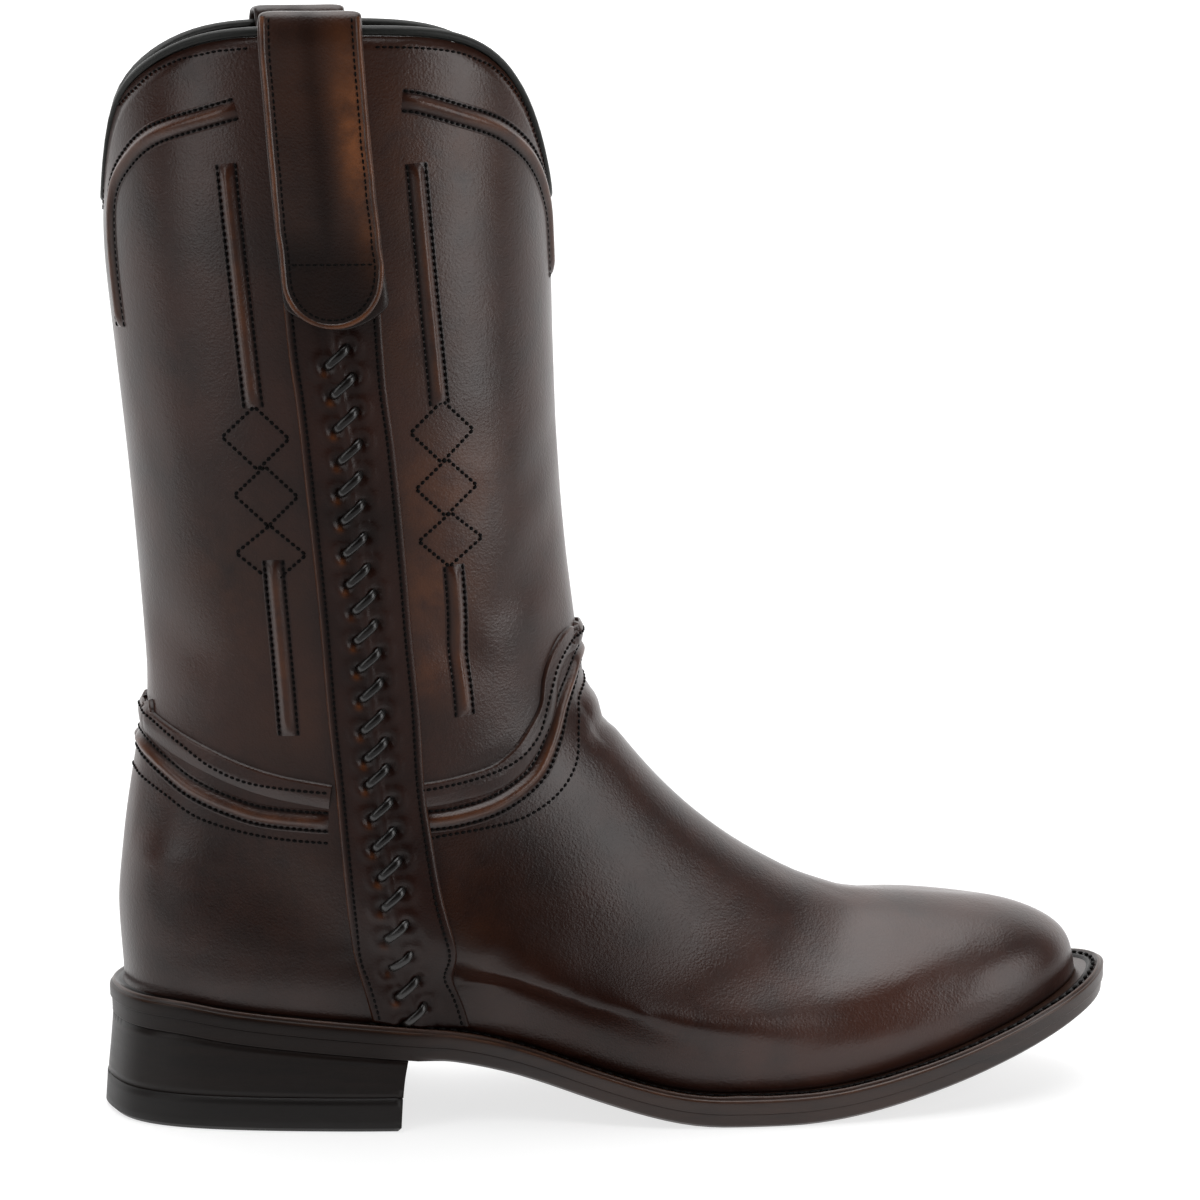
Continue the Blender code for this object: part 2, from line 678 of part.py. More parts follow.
solid("collar_binding", [[bead[j][k] for j in range(ROUND)] for k in range(5)], False, LINING)
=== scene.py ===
import math

import bmesh
import bpy
import numpy as np
from mathutils import Matrix, Vector
from mathutils.bvhtree import BVHTree


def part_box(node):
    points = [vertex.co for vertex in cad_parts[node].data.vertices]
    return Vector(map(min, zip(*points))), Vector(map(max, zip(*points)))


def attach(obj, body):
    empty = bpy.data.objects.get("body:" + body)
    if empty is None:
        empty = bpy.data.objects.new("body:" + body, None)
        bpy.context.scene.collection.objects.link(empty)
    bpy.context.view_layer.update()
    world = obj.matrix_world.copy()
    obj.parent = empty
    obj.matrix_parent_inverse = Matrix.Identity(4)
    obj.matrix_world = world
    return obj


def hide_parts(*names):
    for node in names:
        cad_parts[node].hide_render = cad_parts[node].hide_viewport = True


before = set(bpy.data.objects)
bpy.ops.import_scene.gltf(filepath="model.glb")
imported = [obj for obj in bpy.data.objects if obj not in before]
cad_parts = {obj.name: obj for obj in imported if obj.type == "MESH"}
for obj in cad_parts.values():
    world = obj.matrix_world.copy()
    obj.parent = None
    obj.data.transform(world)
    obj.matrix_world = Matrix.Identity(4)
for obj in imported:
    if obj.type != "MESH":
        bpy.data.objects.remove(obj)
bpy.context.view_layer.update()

# Camera, floor and light. The boot stands on a white sheet lit from below, seen from its outer
# side, a little above and a little behind square. The light is soft: a bright ceiling, a tall
# light on each side, and a white room behind.
def point_at(thing, place, aim):
    thing.location = place
    thing.rotation_euler = (Vector(aim) - Vector(place)).to_track_quat("-Z", "Y").to_euler()


camera = bpy.data.objects.new("camera", bpy.data.cameras.new("camera"))
bpy.context.scene.collection.objects.link(camera)
point_at(camera, (-0.0224, -1.1118, 0.3455), (0.1033, -0.0089, 0.1515))
camera.data.lens = 114.88
camera.data.sensor_width = 36.0
camera.data.clip_end = 30.0
bpy.context.scene.camera = camera
bpy.context.scene.view_settings.view_transform = "Standard"


def plain_finish(name, colour, rough):
    made = bpy.data.materials.new(name)
    made.use_nodes = True
    shader = made.node_tree.nodes["Principled BSDF"]
    shader.inputs["Base Color"].default_value = (*colour, 1)
    shader.inputs["Roughness"].default_value = rough
    return made


# The sheet runs from a little in front of the boot to far behind it.
floor = bmesh.new()
sheet_place = Matrix.Translation((0, 3.87, 0)) @ Matrix.Diagonal((5.0, 4.0, 1.0, 1.0))
bmesh.ops.create_grid(floor, x_segments=1, y_segments=1, size=1.0, matrix=sheet_place)
floor_mesh = bpy.data.meshes.new("floor")
floor.to_mesh(floor_mesh)
floor.free()
lit_sheet = plain_finish("white floor", (0.35, 0.35, 0.35), 0.9)
sheet_inputs = lit_sheet.node_tree.nodes["Principled BSDF"].inputs
sheet_inputs["Emission Color"].default_value = (1.0, 1.0, 1.0, 1)
sheet_inputs["Emission Strength"].default_value = 0.72
floor_mesh.materials.append(lit_sheet)
floor_piece = bpy.data.objects.new("floor", floor_mesh)
bpy.context.scene.collection.objects.link(floor_piece)

# The room: white behind the boot and overhead, dark on the camera's side.
world = bpy.data.worlds.new("studio")
bpy.context.scene.world = world
world.use_nodes = True
room = world.node_tree
compass = room.nodes.new("ShaderNodeSeparateXYZ")
looking = room.nodes.new("ShaderNodeTexCoord").outputs["Generated"]
room.links.new(looking, compass.inputs["Vector"])


# A light that grows from nothing to its full strength along one axis of the room.
def glow(axis, start, full, strength):
    share = room.nodes.new("ShaderNodeMapRange")
    share.interpolation_type = "SMOOTHSTEP"
    share.inputs["From Min"].default_value = start
    share.inputs["From Max"].default_value = full
    share.inputs["To Max"].default_value = strength
    room.links.new(compass.outputs[axis], share.inputs["Value"])
    return share.outputs["Result"]


light_now = glow("Y", 0.00, 0.55, 1.75)
for other in (glow("Z", 0.80, 0.98, 3.6), glow("Z", 0.02, -0.16, 0.38)):
    brighter = room.nodes.new("ShaderNodeMath")
    brighter.operation = "MAXIMUM"
    room.links.new(light_now, brighter.inputs[0])
    room.links.new(other, brighter.inputs[1])
    light_now = brighter.outputs[0]
room.links.new(light_now, room.nodes["Background"].inputs["Strength"])
room.nodes["Background"].inputs["Color"].default_value = (1.0, 1.0, 1.0, 1)


def soft_light(name, place, aim, wide, tall, power):
    lamp = bpy.data.lights.new(name, "AREA")
    lamp.shape = "RECTANGLE"
    lamp.size = wide
    lamp.size_y = tall
    lamp.energy = power
    made = bpy.data.objects.new(name, lamp)
    bpy.context.scene.collection.objects.link(made)
    point_at(made, place, aim)


soft_light("toe side", (1.25, -0.80, 0.48), (0.1, 0.0, 0.12), 0.7, 1.2, 8.0)
soft_light("heel side", (-1.05, -0.75, 0.60), (0.0, 0.0, 0.20), 0.6, 1.2, 3.7)


# Upper. Waxed chocolate calf with the counter and the vamp lapped over the shaft, pulled over a
# last and left with a few soft creases at the instep and the toe break. The body is the frame's
# own, drawn smooth, and the leather's colour, grain, wear and painted shade are in its finish.
EDGE_STAYS_CRISP = math.radians(50)


# A CAD node's shape, drawn smooth. Its triangles are joined to larger faces, trim may square its
# rims, and an edge that turns by more than sharp stays crisp. The cage is then moved out by as
# much as smoothing draws it in, so the piece keeps its size.
def smooth_copy(name, levels, sharp=None, trim=None):
    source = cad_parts[name]
    shape = bmesh.new()
    shape.from_mesh(source.data)
    bmesh.ops.remove_doubles(shape, verts=shape.verts, dist=0.00002)
    bmesh.ops.join_triangles(shape, faces=shape.faces, cmp_seam=False, cmp_sharp=False,
                             cmp_uvs=False, cmp_vcols=False, cmp_materials=False,
                             angle_face_threshold=0.7, angle_shape_threshold=3.1)
    if trim:
        shape.normal_update()
        trim(shape)
    shape.normal_update()
    if sharp:
        crease = shape.edges.layers.float.new("crease_edge")
        for edge in shape.edges:
            if len(edge.link_faces) == 2 and edge.calc_face_angle(0) > sharp:
                edge[crease] = 1.0
    mesh = bpy.data.meshes.new(name + " smooth")
    shape.to_mesh(mesh)
    shape.free()
    draft = bpy.data.objects.new(name + " draft", mesh)
    bpy.context.scene.collection.objects.link(draft)
    rounder = draft.modifiers.new("smooth", "SUBSURF")
    rounder.levels = levels
    rounder.render_levels = levels
    drawn_in = draft.evaluated_get(bpy.context.evaluated_depsgraph_get()).data
    away = [vert.co - drawn_in.vertices[vert.index].co for vert in mesh.vertices]
    for vert, shift in zip(mesh.vertices, away):
        vert.co += shift
    mesh.update()
    bpy.context.view_layer.update()
    rounded = draft.evaluated_get(bpy.context.evaluated_depsgraph_get())
    settled = bpy.data.meshes.new_from_object(rounded)
    bpy.data.objects.remove(draft, do_unlink=True)
    settled.materials.clear()
    if sharp:
        settled.set_sharp_from_angle(angle=EDGE_STAYS_CRISP)
    return settled


# A piece from its mesh and finish, riding on the boot and standing for the CAD nodes named.
def finished(name, mesh, finish, *nodes):
    mesh.name = name
    mesh.materials.clear()
    mesh.materials.append(finish)
    for face in mesh.polygons:
        face.use_smooth = True
    made = bpy.data.objects.new(name, mesh)
    bpy.context.scene.collection.objects.link(made)
    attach(made, "root")
    if nodes:
        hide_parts(*nodes)
    return made


# Waxed leather: two browns that drift into each other, worn lighter where burnish is painted,
# and darker and less glossy where shade is painted, with fine pores and a soft gloss.
def waxed_leather(name, dark, light, worn, rough, grain, gloss, stretch=1.0):
    made = bpy.data.materials.new(name)
    made.use_nodes = True
    nodes = made.node_tree.nodes
    links = made.node_tree.links
    shader = nodes["Principled BSDF"]
    mapping = nodes.new("ShaderNodeMapping")
    mapping.inputs["Scale"].default_value = (1.0, 1.0, stretch)
    links.new(nodes.new("ShaderNodeTexCoord").outputs["Object"], mapping.inputs["Vector"])
    place = mapping.outputs["Vector"]

    def cloud(scale, detail, roughness=0.55):
        texture = nodes.new("ShaderNodeTexNoise")
        texture.inputs["Scale"].default_value = scale
        texture.inputs["Detail"].default_value = detail
        texture.inputs["Roughness"].default_value = roughness
        links.new(place, texture.inputs["Vector"])
        return texture.outputs["Fac"]

    def ramp(value, low, high, start=0.0, end=1.0):
        scale = nodes.new("ShaderNodeMapRange")
        for socket, number in zip(("From Min", "From Max", "To Min", "To Max"),
                                  (low, high, start, end)):
            scale.inputs[socket].default_value = number
        links.new(value, scale.inputs["Value"])
        return scale.outputs["Result"]

    def blend(amount, first, second):
        mix = nodes.new("ShaderNodeMix")
        mix.data_type = "RGBA"
        links.new(amount, mix.inputs[0])
        for socket, colour in ((mix.inputs[6], first), (mix.inputs[7], second)):
            if isinstance(colour, tuple):
                socket.default_value = (*colour, 1)
            else:
                links.new(colour, socket)
        return mix.outputs[2]

    def painted(attribute):
        reader = nodes.new("ShaderNodeAttribute")
        reader.attribute_name = attribute
        return reader.outputs["Fac"]

    def times(first, second):
        product = nodes.new("ShaderNodeMath")
        product.operation = "MULTIPLY"
        links.new(first, product.inputs[0])
        if isinstance(second, float):
            product.inputs[1].default_value = second
        else:
            links.new(second, product.inputs[1])
        return product.outputs[0]

    drift = ramp(cloud(16.0, 3.0), 0.35, 0.68)
    colour = blend(drift, dark, light)
    mottle = times(ramp(cloud(95.0, 4.0, 0.65), 0.42, 0.72), 0.45)
    colour = blend(mottle, colour, light)
    blotch = times(ramp(cloud(30.0, 5.0, 0.65), 0.50, 0.68), 0.55)
    colour = blend(blotch, colour, tuple(0.45 * part for part in dark))
    rub = times(painted("burnish"), ramp(cloud(120.0, 3.0, 0.6), 0.22, 0.62))
    colour = blend(rub, colour, worn)
    # Painted shade darkens the colour here, and dulls the gloss below.
    colour = blend(painted("shade"), colour, tuple(0.22 * part for part in dark))
    links.new(colour, shader.inputs["Base Color"])
    sheen = ramp(cloud(42.0, 4.0), 0.2, 0.8)
    links.new(ramp(sheen, 0.0, 1.0, rough - 0.06, rough + 0.08), shader.inputs["Roughness"])
    shaded_gloss = ramp(painted("shade"), 0.0, 1.0, gloss, 0.25 * gloss)
    links.new(shaded_gloss, shader.inputs["Specular IOR Level"])
    shader.inputs["Coat Weight"].default_value = 0.05
    shader.inputs["Coat Roughness"].default_value = 0.28
    pores = nodes.new("ShaderNodeTexVoronoi")
    pores.inputs["Scale"].default_value = 1400.0
    links.new(place, pores.inputs["Vector"])
    wrinkle = cloud(800.0, 3.0, 0.6)
    height = nodes.new("ShaderNodeMath")
    height.operation = "MULTIPLY_ADD"
    links.new(pores.outputs["Distance"], height.inputs[0])
    height.inputs[1].default_value = 0.5
    links.new(wrinkle, height.inputs[2])
    bump = nodes.new("ShaderNodeBump")
    bump.inputs["Strength"].default_value = grain
    bump.inputs["Distance"].default_value = 0.00018
    links.new(height.outputs[0], bump.inputs["Height"])
    links.new(bump.outputs["Normal"], shader.inputs["Normal"])
    return made


chocolate = (0.0170, 0.0062, 0.0045)
chestnut = (0.0520, 0.0175, 0.0105)
amber = (0.1500, 0.0480, 0.0150)
calf = waxed_leather("waxed calf", chocolate, chestnut, amber, 0.30, 0.40, 0.50)


# One kind of value for every point of a mesh, such as its place, as rows of three.
def read_points(mesh, what):
    values = np.zeros(len(mesh.vertices) * 3)
    mesh.vertices.foreach_get(what, values)
    return values.reshape(-1, 3)


# A mesh's surface, on which places are found. The points are the mesh's own unless given.
def surface(mesh, points=None):
    points = read_points(mesh, "co") if points is None else points
    return BVHTree.FromPolygons([Vector(co) for co in points],
                                [tuple(face.vertices) for face in mesh.polygons])


upper_mesh = smooth_copy("upper", 2, 1.0)
upper_co = read_points(upper_mesh, "co")
upper_no = read_points(upper_mesh, "normal")
SHAFT_MIDDLE = 0.028

# The body's own steps at the counter and the vamp are eased away between the back and the front,
# because the lapped edges are laid there as pieces of their own. Angles are in degrees.
BACK_KEPT, FRONT_KEPT, ANGLE_FADE = 8, 170, 8
EASED_FROM, EASED_TO, HEIGHT_FADE = 0.080, 0.160, 0.008
EASING_PASSES = 110
EASING_SHARE = 0.6
turn_of = np.abs(np.degrees(np.arctan2(-upper_co[:, 1], SHAFT_MIDDLE - upper_co[:, 0])))
eased = np.clip((turn_of - BACK_KEPT) / ANGLE_FADE, 0, 1)
eased *= np.clip((FRONT_KEPT - turn_of) / ANGLE_FADE, 0, 1)
eased *= (np.clip((upper_co[:, 2] - EASED_FROM) / HEIGHT_FADE, 0, 1)
          * np.clip((EASED_TO - upper_co[:, 2]) / HEIGHT_FADE, 0, 1))
pairs = np.zeros(len(upper_mesh.edges) * 2, dtype=int)
upper_mesh.edges.foreach_get("vertices", pairs)
here = np.concatenate((pairs[0::2], pairs[1::2]))
there = np.concatenate((pairs[1::2], pairs[0::2]))
joins = np.bincount(here, minlength=len(upper_co))
for step in range(EASING_PASSES):
    for axis in range(3):
        mean = np.bincount(here, upper_co[there, axis], minlength=len(upper_co)) / joins
        upper_co[:, axis] += EASING_SHARE * eased * (mean - upper_co[:, axis])
bare = surface(upper_mesh, upper_co)
CLEAR_OF_BOOT = 0.35


# A place on the upper's face: angle in degrees round the shaft, 0 at the back seam, 90 at the
# outer side, 180 in front and negative on the inner side, at a height in metres.
def round_boot(angle, high, tree):
    out = Vector((-math.cos(math.radians(angle)), -math.sin(math.radians(angle)), 0))
    start = Vector((SHAFT_MIDDLE, 0, high)) + out * CLEAR_OF_BOOT
    place, normal, index, distance = tree.ray_cast(start, -out)
    return place, normal


# Creases at the instep's sides, on the shaft above the instep, and above the counter: from one
# place to another, how wide and how deep, in metres.
creases = (
    dict(start=(150, 0.1090), end=(124, 0.100), wide=0.0060, deep=0.0009),
    dict(start=(-150, 0.1090), end=(-124, 0.100), wide=0.0060, deep=0.0009),
    dict(start=(150, 0.200), end=(128, 0.206), wide=0.0028, deep=0.0004),
    dict(start=(146, 0.190), end=(127, 0.183), wide=0.0026, deep=0.0004),
    dict(start=(170, 0.180), end=(142, 0.158), wide=0.0060, deep=0.0007),
    dict(start=(166, 0.165), end=(138, 0.150), wide=0.0050, deep=0.0006),
    dict(start=(172, 0.205), end=(150, 0.186), wide=0.0060, deep=0.0006),
    dict(start=(-170, 0.180), end=(-142, 0.160), wide=0.0060, deep=0.0007),
    dict(start=(118, 0.150), end=(140, 0.136), wide=0.0060, deep=0.0010),
    dict(start=(12, 0.150), end=(40, 0.138), wide=0.0080, deep=0.0008),
    dict(start=(-12, 0.150), end=(-40, 0.138), wide=0.0080, deep=0.0008),
)


# Both walls of the upper are pressed the same way, towards a line through the middle of the shaft
# or, below the ankle, of the foot. So the lining never comes through the leather.
FOOT_TOP = 0.100
FOOT_LINE_END = 0.19
FOOT_LINE_ACROSS = 0.004
FOOT_LINE_HIGH = 0.045
everywhere = np.ones(len(upper_co))
foot_line = np.stack((np.clip(upper_co[:, 0], 0, FOOT_LINE_END), FOOT_LINE_ACROSS * everywhere,
                      FOOT_LINE_HIGH * everywhere), axis=1)
shaft_line = np.stack((SHAFT_MIDDLE * everywhere, 0 * everywhere, upper_co[:, 2]), axis=1)
core = np.where((upper_co[:, 2] < FOOT_TOP)[:, None], foot_line, shaft_line)
outward = upper_no * np.sign(np.sum(upper_no * (upper_co - core), axis=1))[:, None]


def press(start, end, wide, deep):
    run = end - start
    share = np.clip(((upper_co - start) @ run) / (run @ run), 0, 1)
    near = np.linalg.norm(upper_co - (start + share[:, None] * run), axis=1)
    fade = np.sin(math.pi * np.clip(share * 0.9 + 0.05, 0, 1)) ** 0.7
    amount = deep * fade * np.exp(-((near / wide) ** 2))
    upper_co[:] -= outward * amount[:, None]


for crease in creases:
    first = np.array(round_boot(*crease["start"], bare)[0])
    last = np.array(round_boot(*crease["end"], bare)[0])
    press(first, last, crease["wide"], crease["deep"])

# The toe break and the fold at the instep, run over the vamp from side to side: troughs, and
# swells where deep is below nought. Ahead is metres ahead of the heel's middle, half is how far
# it reaches to each side, and slant is how far it falls back at 30 mm to the side.
vamp_folds = (
    dict(ahead=0.1830, slant=0.012, half=0.028, wide=0.0090, deep=0.0013),
    dict(ahead=0.1660, slant=0.010, half=0.028, wide=0.0080, deep=0.0006),
    dict(ahead=0.2060, slant=0.004, half=0.018, wide=0.0160, deep=-0.0006),
    dict(ahead=0.1045, slant=0.006, half=0.014, wide=0.0032, deep=0.0022),
    dict(ahead=0.1005, slant=0.004, half=0.012, wide=0.0045, deep=-0.0016),
)
TOE_SWING = 0.004
OVER_VAMP = 0.3
DOWN = Vector((0, 0, -1))
for fold in vamp_folds:
    ends = []
    for across in (-fold["half"], fold["half"] + TOE_SWING):
        ahead = fold["ahead"] - fold["slant"] * abs(across) / 0.03
        ends.append(np.array(bare.ray_cast(Vector((ahead, across, OVER_VAMP)), DOWN)[0]))
    over = Vector((fold["ahead"], TOE_SWING, OVER_VAMP))
    top = np.array(bare.ray_cast(over, DOWN)[0])
    press(ends[0], top, fold["wide"], fold["deep"])
    press(top, ends[1], fold["wide"], fold["deep"])

upper_mesh.vertices.foreach_set("co", upper_co.ravel())
upper_mesh.update()


# Where the finish is rubbed to amber: angle and height, reach in metres, and amount.
rubbed = (
    dict(at=(118, 0.285), reach=0.030, burnish=0.30),
    dict(at=(112, 0.235), reach=0.022, burnish=0.22),
    dict(at=(124, 0.190), reach=0.018, burnish=0.55),
    dict(at=(122, 0.160), reach=0.015, burnish=0.60),
    dict(at=(120, 0.138), reach=0.012, burnish=0.45),
    dict(at=(48, 0.160), reach=0.024, burnish=0.20),
    dict(at=(66, 0.125), reach=0.016, burnish=0.18),
    dict(at=(125, 0.060), reach=0.022, burnish=0.22),
    dict(at=(70, 0.075), reach=0.020, burnish=0.12),
    dict(at=(-118, 0.285), reach=0.030, burnish=0.30),
    dict(at=(-124, 0.185), reach=0.024, burnish=0.40),
    dict(at=(-48, 0.160), reach=0.024, burnish=0.20),
)


# Painted shade: low on the foot, and at the back near the collar.
painted_shade_spots = (
    dict(at=(112, 0.050), reach=0.036, shade=0.75),
    dict(at=(142, 0.060), reach=0.036, shade=0.60),
    dict(at=(150, 0.045), reach=0.036, shade=0.70),
    dict(at=(60, 0.055), reach=0.032, shade=0.45),
    dict(at=(20, 0.045), reach=0.026, shade=0.35),
    dict(at=(22, 0.300), reach=0.022, shade=0.30),
    dict(at=(-112, 0.050), reach=0.034, shade=0.50),
)


# A value painted on every point of a mesh, which its finish reads.
def paint(mesh, name, values):
    layer = mesh.attributes.new(name, "FLOAT", "POINT")
    layer.data.foreach_set("value", np.asarray(values, dtype=float).ravel())


# Soft round spots on the upper, the strongest one at each point.
def spread(spots, what):
    values = np.zeros(len(upper_co))
    for spot in spots:
        middle = np.array(round_boot(*spot["at"], bare)[0])
        far = np.linalg.norm(upper_co - middle, axis=1) / spot["reach"]
        values = np.maximum(values, spot[what] * np.exp(-(far ** 2)))
    return values


paint(upper_mesh, "burnish", spread(rubbed, "burnish"))
paint(upper_mesh, "shade", spread(painted_shade_spots, "shade"))
upper = finished("upper_leather", upper_mesh, calf, "upper")
lining_dark = (0.0045, 0.0050, 0.0035)
lining_light = (0.0090, 0.0095, 0.0070)
lining = waxed_leather("dark lining", lining_dark, lining_light, amber, 0.60, 0.35, 0.25)
upper_mesh.materials.append(lining)
for face in upper_mesh.polygons:
    inside = Vector((SHAFT_MIDDLE, 0, face.center.z))
    if face.center.z < FOOT_TOP:
        along_foot = min(max(face.center.x, 0.0), FOOT_LINE_END)
        inside = Vector((along_foot, FOOT_LINE_ACROSS, FOOT_LINE_HIGH))
    face.material_index = int(face.normal.dot(face.center - inside) < 0)
skin = surface(upper_mesh)


# Lapped edges. The counter and the vamp lie over the shaft and are sewn down, so their cut edges
# stand up by the leather's thickness. Each edge is a band of the same calf laid along the lap,
# full height at the cut and skived down to nothing behind it.
CURVE_STEPS = 16


# A smooth curve through some points, as points a gap apart, or as a set count of stretches.
def run_through(points, gap, count=None):
    smooth = []
    for i in range(len(points) - 1):
        a, b, c, d = (Vector(points[min(max(i + k - 1, 0), len(points) - 1)]) for k in range(4))
        for j in range(CURVE_STEPS):
            t = j / CURVE_STEPS
            smooth.append(0.5 * ((2 * b) + (c - a) * t + (2 * a - 5 * b + 4 * c - d) * t * t
                                 + (3 * b - a - 3 * c + d) * t**3))
    smooth.append(Vector(points[-1]))
    length = [0.0]
    for i in range(1, len(smooth)):
        length.append(length[-1] + (smooth[i] - smooth[i - 1]).length)
    count = count or max(2, round(length[-1] / gap))
    spots = np.linspace(0, length[-1], count + 1)
    return [Vector(np.interp(s, length, [p[k] for p in smooth]) for k in range(3)) for s in spots]


# A line on the boot through places given by angle and height, as points a gap apart. The places
# are joined on a flat map, where a step in angle counts about as much as one in height.
MAP_ANGLE = 40
MAP_HIGH = 14


def line_on_boot(places, gap, tree):
    fine = []
    flat = run_through([(angle / MAP_ANGLE, high * MAP_HIGH, 0) for angle, high in places], 0.04)
    for spot in flat:
        fine.append(round_boot(spot[0] * MAP_ANGLE, spot[1] / MAP_HIGH, tree)[0])
    return run_through([spot for spot in fine if spot], gap)


# All the faces of a band turned to look away from what it lies on.
def faced_out(band, tree):
    bmesh.ops.recalc_face_normals(band, faces=band.faces)
    band.faces.ensure_lookup_table()
    middle = band.faces[len(band.faces) // 2]
    if middle.normal.dot(tree.find_nearest(middle.calc_center_median())[1]) < 0:
        bmesh.ops.reverse_faces(band, faces=band.faces)


# Leather laid along a line: a grid is bent to follow the line on a surface. Over runs from -1 to 1
# across the band, and end is how far a point is from the nearer end of the line.
def laid_along(line, wide, across, rise, tree, colouring):
    band = bmesh.new()
    along = len(line) - 1
    bmesh.ops.create_grid(band, x_segments=along, y_segments=across, size=0.5)
    burnish = band.verts.layers.float.new("burnish")
    shade = band.verts.layers.float.new("shade")
    for vert in band.verts:
        i = min(max(round((vert.co.x + 0.5) * along), 0), along)
        over = vert.co.y * 2
        spot, normal, index, distance = tree.find_nearest(line[i])
        ahead = (line[min(i + 1, along)] - line[max(i - 1, 0)]).normalized()
        side = normal.cross(ahead).normalized()
        spot, normal, index, distance = tree.find_nearest(line[i] + side * over * wide / 2)
        end = min(i, along - i) * (line[1] - line[0]).length
        vert.co = spot + normal * rise(over, end)
        vert[burnish], vert[shade] = colouring(over, end)
    faced_out(band, tree)
    return band


# The same line moved sideways over the leather by a distance.
def beside(line, shift, tree, gap):
    moved = []
    for i, spot in enumerate(line):
        place, normal, index, distance = tree.find_nearest(spot)
        ahead = (line[min(i + 1, len(line) - 1)] - line[max(i - 1, 0)]).normalized()
        moved.append(tree.find_nearest(place + normal.cross(ahead).normalized() * shift)[0])
    return run_through(moved, gap)


# Several shapes as one mesh.
def joined(parts):
    whole = bpy.data.meshes.new("joined")
    first = parts[0]
    for other in parts[1:]:
        spare = bpy.data.meshes.new("spare")
        other.to_mesh(spare)
        first.from_mesh(spare)
        bpy.data.meshes.remove(spare)
        other.free()
    first.to_mesh(whole)
    first.free()
    return whole


def other_side(places):
    return tuple((-angle, high) for angle, high in places)


FINE_GAP = 0.0011
FINE_ACROSS = 14
LAP_THICK = 0.0011
LAP_WIDE = 0.0075
COUNTER_LAP = ((0, 0.1243), (10.6, 0.1212), (19.4, 0.1182), (30.4, 0.1142), (43.5, 0.1099),
               (58.6, 0.1068), (82, 0.1043))
VAMP_LAP = ((112, 0.1043), (121.3, 0.1047), (131.1, 0.1057), (141.1, 0.1077), (147.2, 0.1117),
            (152.0, 0.1175), (156.1, 0.1239), (157.5, 0.1307), (159.8, 0.1363), (164, 0.1417),
            (168.5, 0.1441), (174, 0.1447), (180, 0.1447))


# Face is 1 at the cut edge and -1 where the band has run out into the leather.
def lap_rise(face):
    skived = LAP_THICK * min((face + 1) / 0.9, 1) ** 0.8
    return skived - 0.0015 * max(face - 0.86, 0) / 0.14 + 0.00003


# The cut edge's wall is painted dark, partly the raw edge's own colour and partly painted shade
# under the standing edge. Just behind the cut the leather is rubbed a little lighter.
def lap_colour(face):
    return 0.20 * math.exp(-((face - 0.80) / 0.08) ** 2), 0.9 * max(face - 0.86, 0) / 0.14


laps = []
for places in (COUNTER_LAP, VAMP_LAP):
    for hand, side in ((1, places), (-1, other_side(places))):
        cut = line_on_boot(side, FINE_GAP, skin)
        low = beside(cut, -hand * LAP_WIDE / 2, skin, FINE_GAP)
        laps.append(laid_along(low, LAP_WIDE, FINE_ACROSS, lambda over, end: lap_rise(over * hand),
                               skin, lambda over, end: lap_colour(over * hand)))
lap_piece = finished("lapped_edges", joined(laps), calf)
# The upper and the laps as one surface, for what lies on both.
lapped = BVHTree.FromPolygons(
    [Vector(co) for co in upper_co] + [vert.co.copy() for vert in lap_piece.data.vertices],
    [tuple(face.vertices) for face in upper_mesh.polygons]
    + [tuple(v + len(upper_co) for v in face.vertices) for face in lap_piece.data.polygons])


# Corded ridges. A cord is sewn between the leather and its lining, so the leather stands up in a
# rounded ridge with a row of stitches in the valley on each side. They run round the collar, down
# the panels to a chain of diamonds, and along the counter and the vamp. The crests are burnished.
CORD_WIDE = 0.0078
CORD_HIGH = 0.0014


def corded(over, end):
    taper = min(end / 0.004, 1) ** 0.5
    crest = math.cos(min(abs(over) / 0.62, 1) * math.pi / 2) ** 1.4
    roll = 0.00025 * math.exp(-((abs(over) - 0.86) / 0.09) ** 2)
    edge = 0.0004 * max(abs(over) - 0.9, 0) / 0.1
    return (CORD_HIGH * crest + roll) * taper - edge + 0.00002


# The crests are burnished, and the valleys along the stitch rows carry painted shade.
def cord_colour(over, end):
    crest = math.cos(min(abs(over) / 0.55, 1) * math.pi / 2) ** 1.5
    valley = math.exp(-((abs(over) - 0.66) / 0.13) ** 2)
    return 0.58 * crest * min(end / 0.006, 1), 0.85 * valley


# Places on the outer side, by angle and height. The inner side is the same turned over.
COLLAR_CORD_BACK = ((11.5, 0.234), (11, 0.250), (11, 0.262), (11.8, 0.2695), (14.3, 0.2755),
                    (19.3, 0.2812), (27, 0.2875), (36, 0.2915), (56, 0.2972))
COLLAR_CORD_FRONT = ((109, 0.2992), (115, 0.2985), (128, 0.2952), (142, 0.2912), (153.4, 0.2852),
                     (161, 0.2788), (166.5, 0.2720), (171, 0.2640), (174, 0.2470))
BACK_CORD = ((52.6, 0.2821), (55.3, 0.2482), (58.0, 0.2138))
BACK_CORD_LOW = ((61.8, 0.1702), (62.5, 0.1453), (63.5, 0.1183))
FRONT_CORD = ((113.6, 0.2820), (117.3, 0.2483), (121.6, 0.2140))
FRONT_CORD_LOW = ((127.6, 0.1677), (130.5, 0.1456), (133.0, 0.1231))
COUNTER_CORD = ((0, 0.1125), (6.5, 0.1115), (17, 0.1063), (27, 0.1008), (39.5, 0.0964),
                (53, 0.0939), (80, 0.0929))
VAMP_CORD = ((118, 0.0930), (130, 0.0937), (142, 0.0966), (152, 0.1032), (158.5, 0.1130),
             (163.5, 0.1225), (168.5, 0.1300), (172, 0.1345), (180, 0.1375))
cord_lines = (COLLAR_CORD_BACK, COLLAR_CORD_FRONT, BACK_CORD, BACK_CORD_LOW, FRONT_CORD,
              FRONT_CORD_LOW, COUNTER_CORD, VAMP_CORD)

